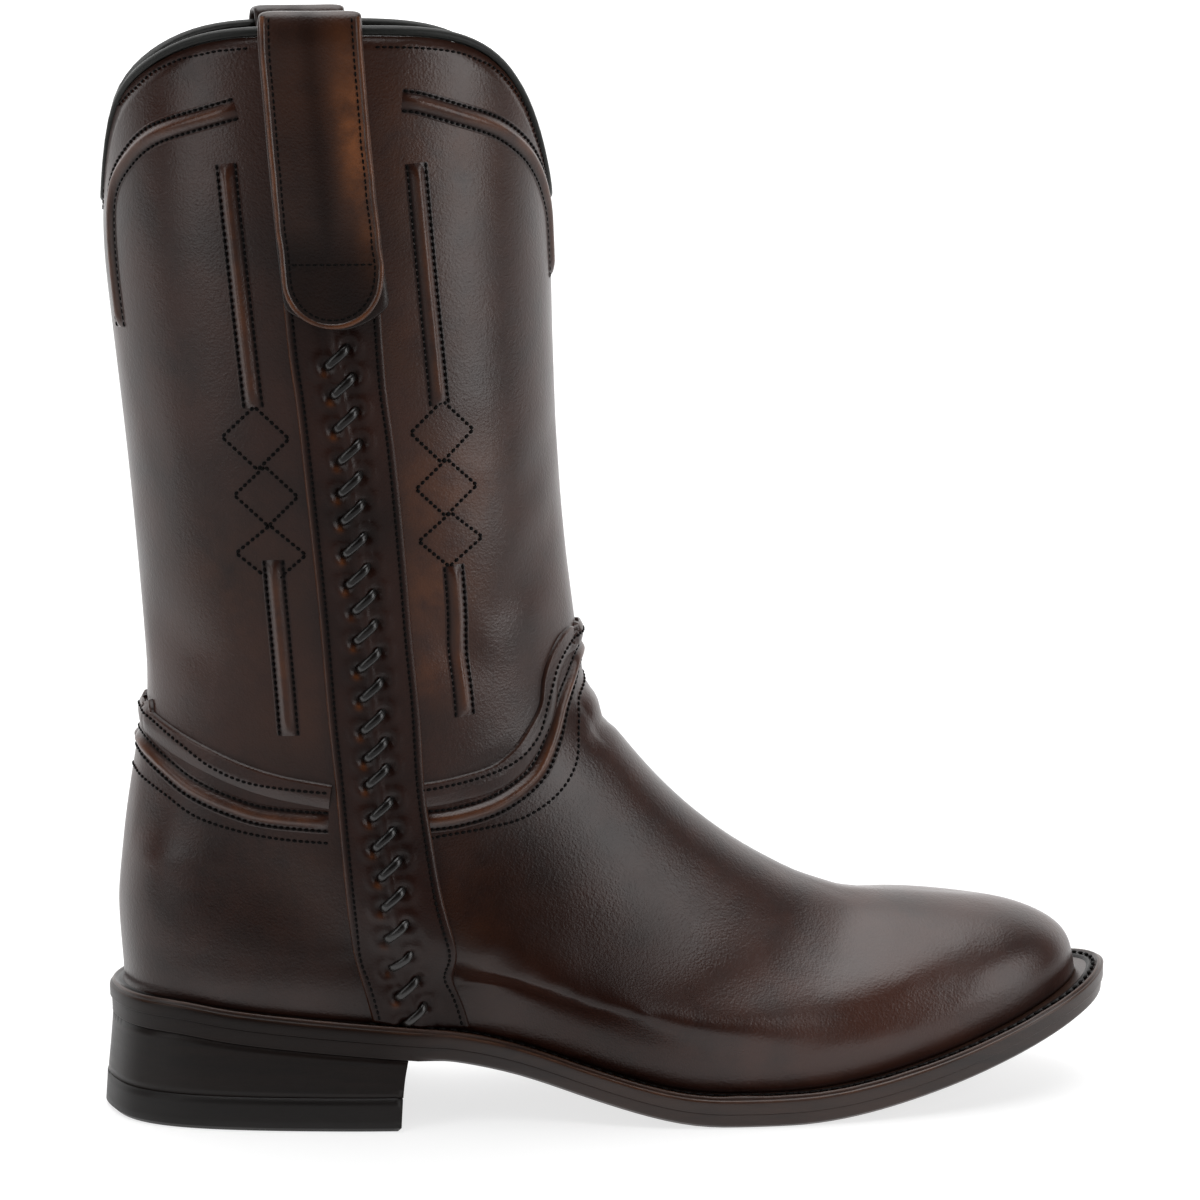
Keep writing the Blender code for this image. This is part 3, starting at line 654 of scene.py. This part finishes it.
ridges = []
for places in cord_lines:
    for side in (places, other_side(places)):
        line = line_on_boot(side, FINE_GAP, lapped)
        ridges.append(laid_along(line, CORD_WIDE, FINE_ACROSS, corded, lapped, cord_colour))
cord_piece = finished("corded_ridges", joined(ridges), calf)
relief = surface(cord_piece.data)


# Stitching. Waxed dark thread, two stitches to a few millimetres, each a little rounded bar that
# dips into the leather at both ends. Rows flank every cord, trace the diamonds, hold the lapped
# edges and close the collar.
thread = plain_finish("waxed thread", (0.0028, 0.0020, 0.0018), 0.6)
thread.node_tree.nodes["Principled BSDF"].inputs["Specular IOR Level"].default_value = 0.10
STITCH_GAP = 0.00185
THREAD_WIDE = 0.00048
DIAMOND_THREAD_WIDE = 0.00056
COLLAR_THREAD_WIDE = 0.00036
ROW_BESIDE_CORD = 0.36


def stitch_row(line, tree, wide, lift=0.0001):
    row = bmesh.new()
    for i in range(len(line) - 1):
        middle = (line[i] + line[i + 1]) / 2
        spot, normal, index, distance = tree.find_nearest(middle)
        ahead = (line[i + 1] - line[i]).normalized()
        side = normal.cross(ahead).normalized()
        ahead = side.cross(normal)
        turn = Matrix((ahead, side, normal)).transposed().to_4x4()
        long = (line[i + 1] - line[i]).length * 0.41
        size = Matrix.Diagonal((long, wide, wide * 0.75, 1))
        bmesh.ops.create_uvsphere(row, u_segments=6, v_segments=4, radius=1.0,
                                  matrix=Matrix.Translation(spot + normal * lift) @ turn @ size)
    return row


def thread_piece(name, rows):
    finished(name, joined(rows), thread)


seams = []
for places in cord_lines:
    for side in (places, other_side(places)):
        line = line_on_boot(side, STITCH_GAP, lapped)
        for hand in (-1, 1):
            row = beside(line, hand * ROW_BESIDE_CORD * CORD_WIDE, lapped, STITCH_GAP)
            seams.append(stitch_row(row, relief, THREAD_WIDE))

# Diamonds: middle, half width in degrees and half height of each, down the back and front panels.
diamonds = (
    dict(middle=(58.3, 0.2052), wide=11.2, tall=0.0090),
    dict(middle=(60.8, 0.1886), wide=11.0, tall=0.0086),
    dict(middle=(61.3, 0.1718), wide=12.6, tall=0.0084),
    dict(middle=(122.6, 0.2064), wide=10.8, tall=0.0088),
    dict(middle=(124.4, 0.1903), wide=10.4, tall=0.0082),
    dict(middle=(126.2, 0.1752), wide=10.8, tall=0.0078),
)
for diamond in diamonds:
    angle, high = diamond["middle"]
    wide = diamond["wide"]
    tall = diamond["tall"]
    corners = [(angle, high + tall), (angle + wide, high), (angle, high - tall),
               (angle - wide, high), (angle, high + tall)]
    for first, last in zip(corners[:-1], corners[1:]):
        for turn in (1, -1):
            side = ((turn * first[0], first[1]), (turn * last[0], last[1]))
            line = line_on_boot(side, STITCH_GAP, skin)
            seams.append(stitch_row(line, skin, DIAMOND_THREAD_WIDE))

# Rows that hold the lapped edge of the counter and the vamp, and the last row under their cord.
COUNTER_EDGE = ((0, 0.1222), (5.2, 0.1213), (13, 0.1187), (24.5, 0.1132), (34, 0.1077),
                (45, 0.1042), (60, 0.1027), (80, 0.1018))
VAMP_EDGE = ((112, 0.1020), (121.3, 0.1025), (134, 0.1040), (143.2, 0.1063), (149.2, 0.1096),
             (154.2, 0.1151), (157.4, 0.1225), (160.3, 0.1297), (162.7, 0.1348), (167.9, 0.1395),
             (174, 0.1418), (180, 0.1422))
COUNTER_LOW = ((0, 0.1040), (6, 0.1030), (18, 0.0982), (29, 0.0924), (43.5, 0.0889), (59, 0.0873),
               (80, 0.0867))
VAMP_LOW = ((118, 0.0872), (124, 0.0884), (137, 0.0898), (147, 0.0918), (155.5, 0.0972),
            (162, 0.1055), (166.5, 0.1160), (171, 0.1240), (180, 0.1290))
for places in (COUNTER_EDGE, VAMP_EDGE, COUNTER_LOW, VAMP_LOW):
    for side in (places, other_side(places)):
        row = line_on_boot(side, STITCH_GAP, lapped)
        seams.append(stitch_row(row, lapped, THREAD_WIDE))


# How high the collar's edge stands at an angle.
def collar_high(angle):
    turn = np.degrees(np.arctan2(-upper_co[:, 1], SHAFT_MIDDLE - upper_co[:, 0]))
    near = np.abs((turn - angle + 180) % 360 - 180) < 2.0
    return float(upper_co[near, 2].max())


# The row that closes the collar, broken where the straps cover it.
BELOW_COLLAR = 0.0030
for start, stop in ((100, 260), (-60, 60)):
    row = tuple((angle, collar_high(angle) - BELOW_COLLAR) for angle in range(start, stop + 1, 5))
    seams.append(stitch_row(line_on_boot(row, STITCH_GAP, skin), skin, COLLAR_THREAD_WIDE))
thread_piece("upper_stitching", seams)


# Side strips. A strip of the same calf covers each side seam from the collar to the welt. Its edges
# are skived and burnished, a row of stitches holds each, and a line of punched holes on each side
# of the middle takes the whipped lace.
STRIP_THICK = 0.0017
STRIP_LEFT = ((63.8, 0.3150), (65.5, 0.3000), (67.3, 0.2750), (68.7, 0.2500), (70.6, 0.2276),
              (72.5, 0.2149), (75.8, 0.1811), (78.4, 0.1532), (80.7, 0.1252), (83.6, 0.1038),
              (85.9, 0.0849), (90.0, 0.0567), (93.7, 0.0469), (97.0, 0.0399), (99.0, 0.0354),
              (101.0, 0.0305))
STRIP_RIGHT = ((95.6, 0.3150), (97.0, 0.3000), (99.2, 0.2750), (101.0, 0.2500), (103.4, 0.2204),
               (106.1, 0.2048), (110.2, 0.1754), (114.2, 0.1456), (117.2, 0.1258),
               (119.0, 0.1038), (121.3, 0.0861), (123.5, 0.0660), (127.5, 0.0520),
               (131.5, 0.0440), (135.0, 0.0388), (137.0, 0.0344), (138.2, 0.0312),
               (138.8, 0.0290))
STRIP_ACROSS = 40
STRIP_GAP = 0.0009
STRIP_THREAD_WIDE = 0.00042
OFF_SKIN = 0.008
BED_PASSES = 40
# Painted shade at the strip's foot: below what height it starts, over what height it grows, and how
# strong it gets.
PAINTED_SHADE_BELOW = 0.090
PAINTED_SHADE_WITHIN = 0.050
PAINTED_SHADE_AT_FOOT = 0.7


# A point a share of the way from one place on the skin to another, held off on its outer side.
def between(first, last, share, tree):
    bulge = tree.find_nearest(first)[1] + tree.find_nearest(last)[1]
    return first.lerp(last, share) + bulge.normalized() * OFF_SKIN * math.sin(math.pi * share)


# A band between two lines of places on the skin: across it runs evenly from one to the other. Its
# rim is turned down to the skin, and its foot gets painted shade, as the leather round it does.
def laid_between(left, right, gap, across, rise, tree, colouring):
    left_line = line_on_boot(left, gap, tree)
    right_line = line_on_boot(right, gap, tree)
    along = max(len(left_line), len(right_line)) - 1
    left_line = run_through(left_line, 0, along)
    right_line = run_through(right_line, 0, along)
    band = bmesh.new()
    bmesh.ops.create_grid(band, x_segments=along, y_segments=across, size=0.5)
    burnish = band.verts.layers.float.new("burnish")
    shade = band.verts.layers.float.new("shade")
    bed = np.zeros((along + 1, across + 1, 6))
    for i in range(along + 1):
        for j in range(across + 1):
            found = tree.find_nearest(between(left_line[i], right_line[i], j / across, tree))
            bed[i, j] = (*found[0], *found[1])
    for step in range(BED_PASSES):
        bed[1:-1] += 0.5 * ((bed[:-2] + bed[2:]) / 2 - bed[1:-1])
    for vert in band.verts:
        i = min(max(round((vert.co.x + 0.5) * along), 0), along)
        over = vert.co.y * 2
        spot = bed[i, min(max(round((vert.co.y + 0.5) * across), 0), across)]
        vert.co = Vector(spot[:3]) + Vector(spot[3:]).normalized() * rise(over, 1.0)
        vert[burnish], vert[shade] = colouring(over, 1.0)
        # Painted shade towards the strip's foot, as on the upper round it.
        low = min(max((PAINTED_SHADE_BELOW - spot[2]) / PAINTED_SHADE_WITHIN, 0), 1)
        vert[shade] = max(vert[shade], PAINTED_SHADE_AT_FOOT * low)
    faced_out(band, tree)
    rim = [edge for edge in band.edges if edge.is_boundary]
    for part in bmesh.ops.extrude_edge_only(band, edges=rim)["geom"]:
        if isinstance(part, bmesh.types.BMVert):
            spot, normal, index, distance = tree.find_nearest(part.co)
            part.co = spot + normal * 0.00005
    return band, left_line, right_line


def strip_rise(over, end):
    edge = max(abs(over) - 0.93, 0) / 0.07
    seam = 0.00035 * math.exp(-((abs(over) - 0.885) / 0.05) ** 2)
    middle = 0.0005 * math.exp(-(over / 0.10) ** 2)
    holes = 0.00035 * math.exp(-((abs(over) - 0.36) / 0.10) ** 2)
    return STRIP_THICK * (1 - 0.45 * edge * edge) - seam * 0.6 + middle - holes


# Painted shade: a little over the whole strip, more along the channels of the holes and in the
# grooves of the edge seams. The raw edges are rubbed lighter, one more than the other.
def strip_colour(over, end):
    edge = math.exp(-((abs(over) - 0.99) / 0.035) ** 2)
    hole_channel_shade = 0.35 * math.exp(-((abs(over) - 0.28) / 0.18) ** 2)
    seam_groove_shade = 0.6 * math.exp(-((abs(over) - 0.86) / 0.05) ** 2)
    return (0.9 if over < 0 else 0.3) * edge, min(0.12 + hole_channel_shade + seam_groove_shade, 1.0)


strip_dark = (0.0150, 0.0054, 0.0040)
strip_light = (0.0400, 0.0130, 0.0080)
strip_leather = waxed_leather("strip calf", strip_dark, strip_light, amber, 0.32, 0.35, 0.36)

# The lace's bars by the angle and height of their middles, from the strap's foot to the welt.
LACE_BARS = ((86.5, 0.2286), (88.4, 0.2204), (89.3, 0.2108), (90.5, 0.2017), (90.5, 0.1925),
             (91.4, 0.1845), (92.1, 0.1750), (93.2, 0.1660), (95.6, 0.1584), (96.3, 0.1496),
             (97.7, 0.1413), (98.7, 0.1325), (99.3, 0.1231), (100.6, 0.1148), (101.2, 0.1070),
             (102.7, 0.0972), (103.8, 0.0884), (105.6, 0.0797), (106.6, 0.0707), (108.0, 0.0612),
             (110.9, 0.0521), (114.2, 0.0432), (117.8, 0.0348))
LACE_LONG = 0.0086
LACE_WIDE = 0.0027
LACE_LEAN = math.radians(41)


# Each bar's middle, the way the strip faces there, the way the bar runs and the way up.
def lace_bar_places(turn):
    found = []
    for angle, high in LACE_BARS:
        place, normal = round_boot(turn * angle, high, skin)
        ahead = (Vector((1, 0, 0)) - normal * normal.x).normalized()
        up = normal.cross(ahead)
        up *= 1 if up.z > 0 else -1
        run = ahead * math.cos(LACE_LEAN) + up * math.sin(LACE_LEAN)
        found.append((place, normal, run, up))
    return found


# The holes that the lace goes down into: each is pressed in, with a low rim round it, painted
# shade inside, and rubbed to amber below its lower end.
def punch(mesh, bars):
    count = len(mesh.vertices)
    co = read_points(mesh, "co")
    burnish = np.zeros(count)
    shade = np.zeros(count)
    mesh.attributes["burnish"].data.foreach_get("value", burnish)
    mesh.attributes["shade"].data.foreach_get("value", shade)
    for place, normal, run, up in bars:
        for end in (-1, 1):
            hole = np.array(place + run * (end * LACE_LONG / 2) + normal * STRIP_THICK)
            far = np.linalg.norm(co - hole, axis=1)
            rim = 0.00045 * np.exp(-(((far - 0.0030) / 0.0013) ** 2))
            move = rim - 0.0007 * np.exp(-((far / 0.0017) ** 2))
            co += np.array(normal) * move[:, None]
            shade = np.maximum(shade, 0.95 * np.exp(-((far / 0.0013) ** 2)))
        worn = np.array(place - run * (LACE_LONG / 2 + 0.0004) - up * 0.0017 + normal * STRIP_THICK)
        near = np.exp(-((np.linalg.norm(co - worn, axis=1) / 0.0011) ** 2))
        burnish = np.maximum(burnish, near)
        shade *= 1 - near
    mesh.vertices.foreach_set("co", co.ravel())
    mesh.attributes["burnish"].data.foreach_set("value", burnish)
    mesh.attributes["shade"].data.foreach_set("value", shade)
    mesh.update()


strip_rows = []
for turn, side in ((1, "outer"), (-1, "inner")):
    edges = [STRIP_LEFT, STRIP_RIGHT]
    if turn < 0:
        edges = [other_side(edge) for edge in edges]
    strip_bm, left_line, right_line = laid_between(*edges, STRIP_GAP, STRIP_ACROSS, strip_rise,
                                                   skin, strip_colour)
    strip_mesh = bpy.data.meshes.new("strip")
    strip_bm.to_mesh(strip_mesh)
    strip_bm.free()
    punch(strip_mesh, lace_bar_places(turn))
    strip = finished("side_strip_" + side, strip_mesh, strip_leather, "side_strip_" + side)
    on_strip = surface(strip_mesh)
    for share in (0.075, 0.925):
        row = [on_strip.find_nearest(between(a, b, share, skin))[0]
               for a, b in zip(left_line, right_line)][::4]
        strip_rows.append(stitch_row(run_through(row, STITCH_GAP), on_strip, STRIP_THREAD_WIDE))
thread_piece("strip_stitching", strip_rows)


# Lacing. A flat black lace, waxed to a gloss, is whipped down the middle of each strip. Every bar
# is bowed between its two holes and turns down into them.
lace_dark = (0.0040, 0.0030, 0.0028)
lace_light = (0.0080, 0.0055, 0.0045)
lace_leather = waxed_leather("waxed lace", lace_dark, lace_light, amber, 0.28, 0.15, 0.6)


# One bar: a round ball is drawn out to a flat bar with square shoulders, bowed and slightly
# S-shaped.
def lace_bar(place, normal, run, up):
    bar = bmesh.new()
    bmesh.ops.create_uvsphere(bar, u_segments=10, v_segments=14, radius=1.0,
                              matrix=Matrix.Rotation(math.radians(90), 4, "Y"))
    side = normal.cross(run)
    for vert in bar.verts:
        share, over, high = vert.co
        full = (1 - min(share**4, 1)) ** 0.25 / max(math.sqrt(max(1 - share * share, 0)), 0.05)
        bow = 0.0010 * (1 - share * share) - 0.0012 * max(abs(share) - 0.72, 0) / 0.28
        rise = STRIP_THICK + bow + high * full * 0.0009
        vert.co = (place + run * share * (LACE_LONG / 2 + 0.0003) + up * 0.0006 * share**3
                   + side * over * full * LACE_WIDE / 2 + normal * rise)
    return bar


for turn, side in ((1, "outer"), (-1, "inner")):
    bars = [lace_bar(*spot) for spot in lace_bar_places(turn)]
    lacing = finished("lacing_" + side, joined(bars), lace_leather, "lacing_" + side)


# Pull straps. A doubled strap of harder calf loops over the collar on each side, with a rolled rim
# and a row of stitches along it. Hands have worn its middle and its front edge to amber.
strap_dark = (0.0130, 0.0048, 0.0034)
strap_light = (0.0450, 0.0150, 0.0070)
hand_worn = (0.26, 0.085, 0.026)
strap_leather = waxed_leather("strap calf", strap_dark, strap_light, hand_worn, 0.33, 0.35, 0.55)
STRAP_TOP = 0.3222
STRAP_STRAIGHT_TO = 0.2540
STRAP_ROW_IN = 0.0027
STRAP_THREAD_WIDE = 0.00030
RIM_IN = 0.0009
RIM_WIDE = 0.0017
RIM_ACROSS = 8


# The strap's outline on its outer face, a little in from the edge, from the collar down one edge,
# round the foot and up the other.
def strap_outline(mesh, hand, inset):
    face = [vert.co for vert in mesh.vertices
            if vert.normal.y * hand > 0.6 and abs(vert.co.y) > 0.02]
    levels = np.linspace(STRAP_TOP, STRAP_STRAIGHT_TO, 15)
    edges = []
    for high in levels:
        row = [co for co in face if abs(co.z - high) < 0.0022]
        edges.append((min(co.x for co in row) + inset, max(co.x for co in row) - inset, high))
    low_left, low_right, high = edges[-1]
    foot = min(co.z for co in face) + inset
    middle = (low_left + low_right) / 2
    half = (low_right - low_left) / 2
    path = [(left, high) for left, right, high in edges]
    for turn in np.linspace(0, math.pi, 11)[1:-1]:
        path.append((middle - half * math.cos(turn), high - (high - foot) * math.sin(turn) ** 0.8))
    path += [(right, high) for left, right, high in edges[::-1]]
    return path


# A path seen from the side, dropped onto a surface from that side.
def onto(path, hand, tree):
    spots = []
    for x, z in path:
        beside_boot = Vector((x, hand * 0.2, z))
        spot, normal, index, distance = tree.ray_cast(beside_boot, Vector((0, -hand, 0)))
        if spot:
            spots.append(spot)
    return spots


def rim_rise(over, end):
    return 0.00055 * math.cos(min(abs(over), 1) * math.pi / 2) ** 0.9 - 0.00005


def rim_colour(over, end):
    return 0.55 * math.cos(min(abs(over), 1) * math.pi / 2), 0.0


strap_rows = []
for hand, side in ((-1, "outer"), (1, "inner")):
    strap_mesh = smooth_copy("pull_strap_" + side, 3)
    co = read_points(strap_mesh, "co")
    high = co[:, 2]
    lean = 0.0292 - 0.088 * (high - 0.285)
    across = co[:, 0] - lean

    def streak(middle, wide):
        return ((across - middle) / wide) ** 2

    def level(middle, tall):
        return ((high - middle) / tall) ** 2

    worn = 0.95 * np.exp(-streak(0.0015, 0.0046) - level(0.291, 0.021))
    worn = np.maximum(worn, 0.45 * np.exp(-streak(0.0035, 0.004) - level(0.262, 0.012)))
    worn = np.maximum(worn, 0.50 * np.exp(-streak(0.0125, 0.0016)))
    dark = 0.40 * np.exp(-streak(-0.0085, 0.0030))
    dark = np.maximum(dark, 0.45 * np.exp(-streak(0.0085, 0.0025)))
    dark = np.maximum(dark, 0.60 * np.clip((0.268 - high) / 0.014, 0, 1))
    paint(strap_mesh, "burnish", worn)
    paint(strap_mesh, "shade", dark)
    strap = finished("pull_strap_" + side, strap_mesh, strap_leather, "pull_strap_" + side)
    on_strap = surface(strap_mesh)
    rim = onto(strap_outline(strap_mesh, hand, RIM_IN), hand, on_strap)
    rim_mesh = joined([laid_along(run_through(rim, FINE_GAP), RIM_WIDE, RIM_ACROSS, rim_rise,
                                  on_strap, rim_colour)])
    finished("strap_rim_" + side, rim_mesh, strap_leather)
    seam = onto(strap_outline(strap_mesh, hand, STRAP_ROW_IN), hand, on_strap)
    seam = run_through(seam, STITCH_GAP)
    strap_rows.append(stitch_row(seam, on_strap, STRAP_THREAD_WIDE))
    left, right, foot = [(seam[k].x, seam[-1 - k].x, seam[k].z) for k in range(len(seam) // 2)
                         if seam[k].z > STRAP_STRAIGHT_TO - 0.0005][-1]
    cross = [(left + (right - left) * share, foot) for share in (0.02, 0.35, 0.65, 0.98)]
    cross = run_through(onto(cross, hand, on_strap), STITCH_GAP)
    strap_rows.append(stitch_row(cross, on_strap, STRAP_THREAD_WIDE))
thread_piece("strap_stitching", strap_rows)


# Collar binding. A thin bead of black bound edge closes the shaft's top, where the lining meets
# the leather.
bound_dark = (0.0035, 0.0040, 0.0030)
bound_light = (0.0080, 0.0090, 0.0070)
bound_edge = waxed_leather("bound edge", bound_dark, bound_light, amber, 0.50, 0.40, 0.35)
binding_mesh = smooth_copy("collar_binding", 1)
finished("collar_binding", binding_mesh, bound_edge, "collar_binding")


# Insole. A stiff leather board that closes the foot's floor and carries the foot. It is undyed
# and rubbed, and the upper is lasted over its edge.
board_dark = (0.1100, 0.0620, 0.0340)
board_light = (0.1700, 0.1050, 0.0620)
board = waxed_leather("insole board", board_dark, board_light, amber, 0.62, 0.40, 0.25)
finished("insole", smooth_copy("insole", 2, 0.6), board, "insole")


# Welt. A waxed leather rim that runs round the whole boot and is sewn to the upper and to the
# sole. On its ledge a groove holds the stitches between two low ridges, and its top edge is
# rubbed to amber, with a painted highlight along it.
edge_dark = (0.0120, 0.0055, 0.0040)
edge_light = (0.0300, 0.0130, 0.0080)
edge_wear_and_highlight = (0.17, 0.060, 0.020)
dressed = waxed_leather("dressed edge", edge_dark, edge_light, edge_wear_and_highlight, 0.36, 0.18, 0.45, 5.0)
LEDGE_IN = 0.0030
LEDGE_WIDE = 0.0052
LEDGE_ACROSS = 16
LEDGE_GAP = 0.0016
WELT_STITCH_GAP = 0.0034
WELT_THREAD_WIDE = 0.00060
WELT_THREAD_LIFT = 0.00055
HEEL_SEAT_END = 0.03


# The rounded top edge of a sole piece is rubbed to amber and carries a painted highlight, and
# its edge is painted darker towards the heel, fading to brown ahead of it.
def rubbed_and_highlit_edge(mesh, amount):
    lift = read_points(mesh, "normal")[:, 2]
    paint(mesh, "burnish", amount * np.exp(-(((lift - 0.55) / 0.22) ** 2)))
    ahead = read_points(mesh, "co")[:, 0]
    paint(mesh, "shade", 0.75 * np.clip((0.075 - ahead) / 0.040, 0, 1))


# The pieces of the sole are trimmed and dressed together, so their bevelled rims are made square
# again where one piece meets the next: on the top where up is 1, on the underside where it is -1.
RIM_LEAST = 0.0003
RIM_MOST = 0.0022


def squared(shape, up, ahead=1.0):
    for edge in shape.edges:
        low, high = sorted(edge.verts, key=lambda vert: vert.co.z)
        run = (high.co - low.co).xy.length
        tall = high.co.z - low.co.z
        tilt = sum(face.normal.z for face in edge.link_faces) / len(edge.link_faces)
        bevelled = RIM_LEAST < run < RIM_MOST and tall > RIM_LEAST and tilt * up > 0.2
        if bevelled and low.co.x < ahead:
            moved, kept = (high, low) if up > 0 else (low, high)
            moved.co.xy = kept.co.xy


welt_mesh = smooth_copy("welt", 2, 1.0, lambda shape: squared(shape, -1))
# The welt's top edge is rubbed and given a painted highlight, and it is darker towards the heel.
rubbed_and_highlit_edge(welt_mesh, 0.75)
welt = finished("welt", welt_mesh, dressed, "welt")
on_welt = surface(welt_mesh)


# The welt's outer edge, seen from above.
def welt_rim():
    low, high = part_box("welt")
    middle = Vector(((low[0] + high[0]) / 2, (low[1] + high[1]) / 2, 0))
    rim = []
    points = [vert.co for vert in welt_mesh.vertices]
    for turn in range(0, 360, 2):
        spin = math.radians(turn)
        out = Vector((math.cos(spin), 0.33 * math.sin(spin), 0)).normalized()
        far = max(points, key=lambda co: (co - middle).dot(out)
                  - 1.6 * abs((co - middle).cross(out).z))
        rim.append(far.copy())
    rim.append(rim[0].copy())
    return run_through(rim, 0.004)


rim_line = welt_rim()


# A line on the ledge, a set distance in from the welt's edge, all the way round.
def ledge_line(inset, gap):
    points = []
    for i, spot in enumerate(rim_line[:-1]):
        run = (rim_line[(i + 2) % (len(rim_line) - 1)] - rim_line[i - 2]).normalized()
        inward = Vector((-run.y, run.x, 0))
        over = spot + inward * inset + Vector((0, 0, 0.02))
        place, normal, index, distance = on_welt.ray_cast(over, DOWN)
        if place:
            points.append(place)
    points.append(points[0].copy())
    return run_through(points, gap)


def ledge_rise(over, end):
    outer = 0.00070 * math.exp(-((over + 0.62) / 0.20) ** 2)
    inner = 0.00045 * math.exp(-((over - 0.50) / 0.22) ** 2)
    return 0.00012 + outer + inner - 0.0004 * max(abs(over) - 0.9, 0) / 0.1


# The groove and the ledge's inner side by the upper carry painted shade; the outer ridge is rubbed
# a little lighter.
def ledge_colour(over, end):
    groove = 0.8 * math.exp(-((over - 0.05) / 0.30) ** 2)
    return 0.25 * math.exp(-((over + 0.70) / 0.12) ** 2), min(groove + max(over + 0.3, 0), 1)


ledge_mesh = joined([laid_along(ledge_line(LEDGE_IN, LEDGE_GAP), LEDGE_WIDE, LEDGE_ACROSS,
                                ledge_rise, on_welt, ledge_colour)])
finished("welt_ledge", ledge_mesh, dressed)
ledge_rows = ledge_line(LEDGE_IN, WELT_STITCH_GAP)
welt_seam = [stitch_row([first, last], on_welt, WELT_THREAD_WIDE, WELT_THREAD_LIFT)
             for first, last in zip(ledge_rows[:-1], ledge_rows[1:]) if first.x > HEEL_SEAT_END]
thread_piece("welt_stitching", welt_seam)


# Outsole. One long leather sole, sewn to the welt, dressed on its edge and left smooth below. Its
# rims are squared and its top is lifted a little, so no gap shows under the welt.
BREAST = 0.048
SOLE_LIFT = 0.00035
STACK_LIFT = 0.00050


def lifted_top(mesh, lift):
    for vert in mesh.vertices:
        if vert.normal.z > 0.6:
            vert.co.z += lift


def square_sole(shape):
    squared(shape, 1)
    squared(shape, -1, BREAST)


sole_mesh = smooth_copy("outsole", 2, 0.42, square_sole)
lifted_top(sole_mesh, SOLE_LIFT)
rubbed_and_highlit_edge(sole_mesh, 0.0)
finished("outsole", sole_mesh, dressed, "outsole")


# Heel. Lifts of leather, glued and nailed to the sole, trimmed flush and dressed nearly black. A
# rubber top lift is nailed under them and touches the ground.
lift_dark = (0.0042, 0.0024, 0.0020)
lift_light = (0.0085, 0.0046, 0.0034)
lifts = waxed_leather("stacked lifts", lift_dark, lift_light, amber, 0.36, 0.22, 0.20, 9.0)
stack_mesh = smooth_copy("heel_stack", 2, 0.45)
lifted_top(stack_mesh, STACK_LIFT)
finished("heel_stack", stack_mesh, lifts, "heel_stack")
rubber_dark = (0.0036, 0.0023, 0.0020)
rubber_light = (0.0060, 0.0038, 0.0032)
rubber = waxed_leather("top lift rubber", rubber_dark, rubber_light, amber, 0.44, 0.25, 0.24, 6.0)
cap_mesh = smooth_copy("heel_cap", 2, 0.42)
lifted_top(cap_mesh, SOLE_LIFT)
finished("heel_cap", cap_mesh, rubber, "heel_cap")
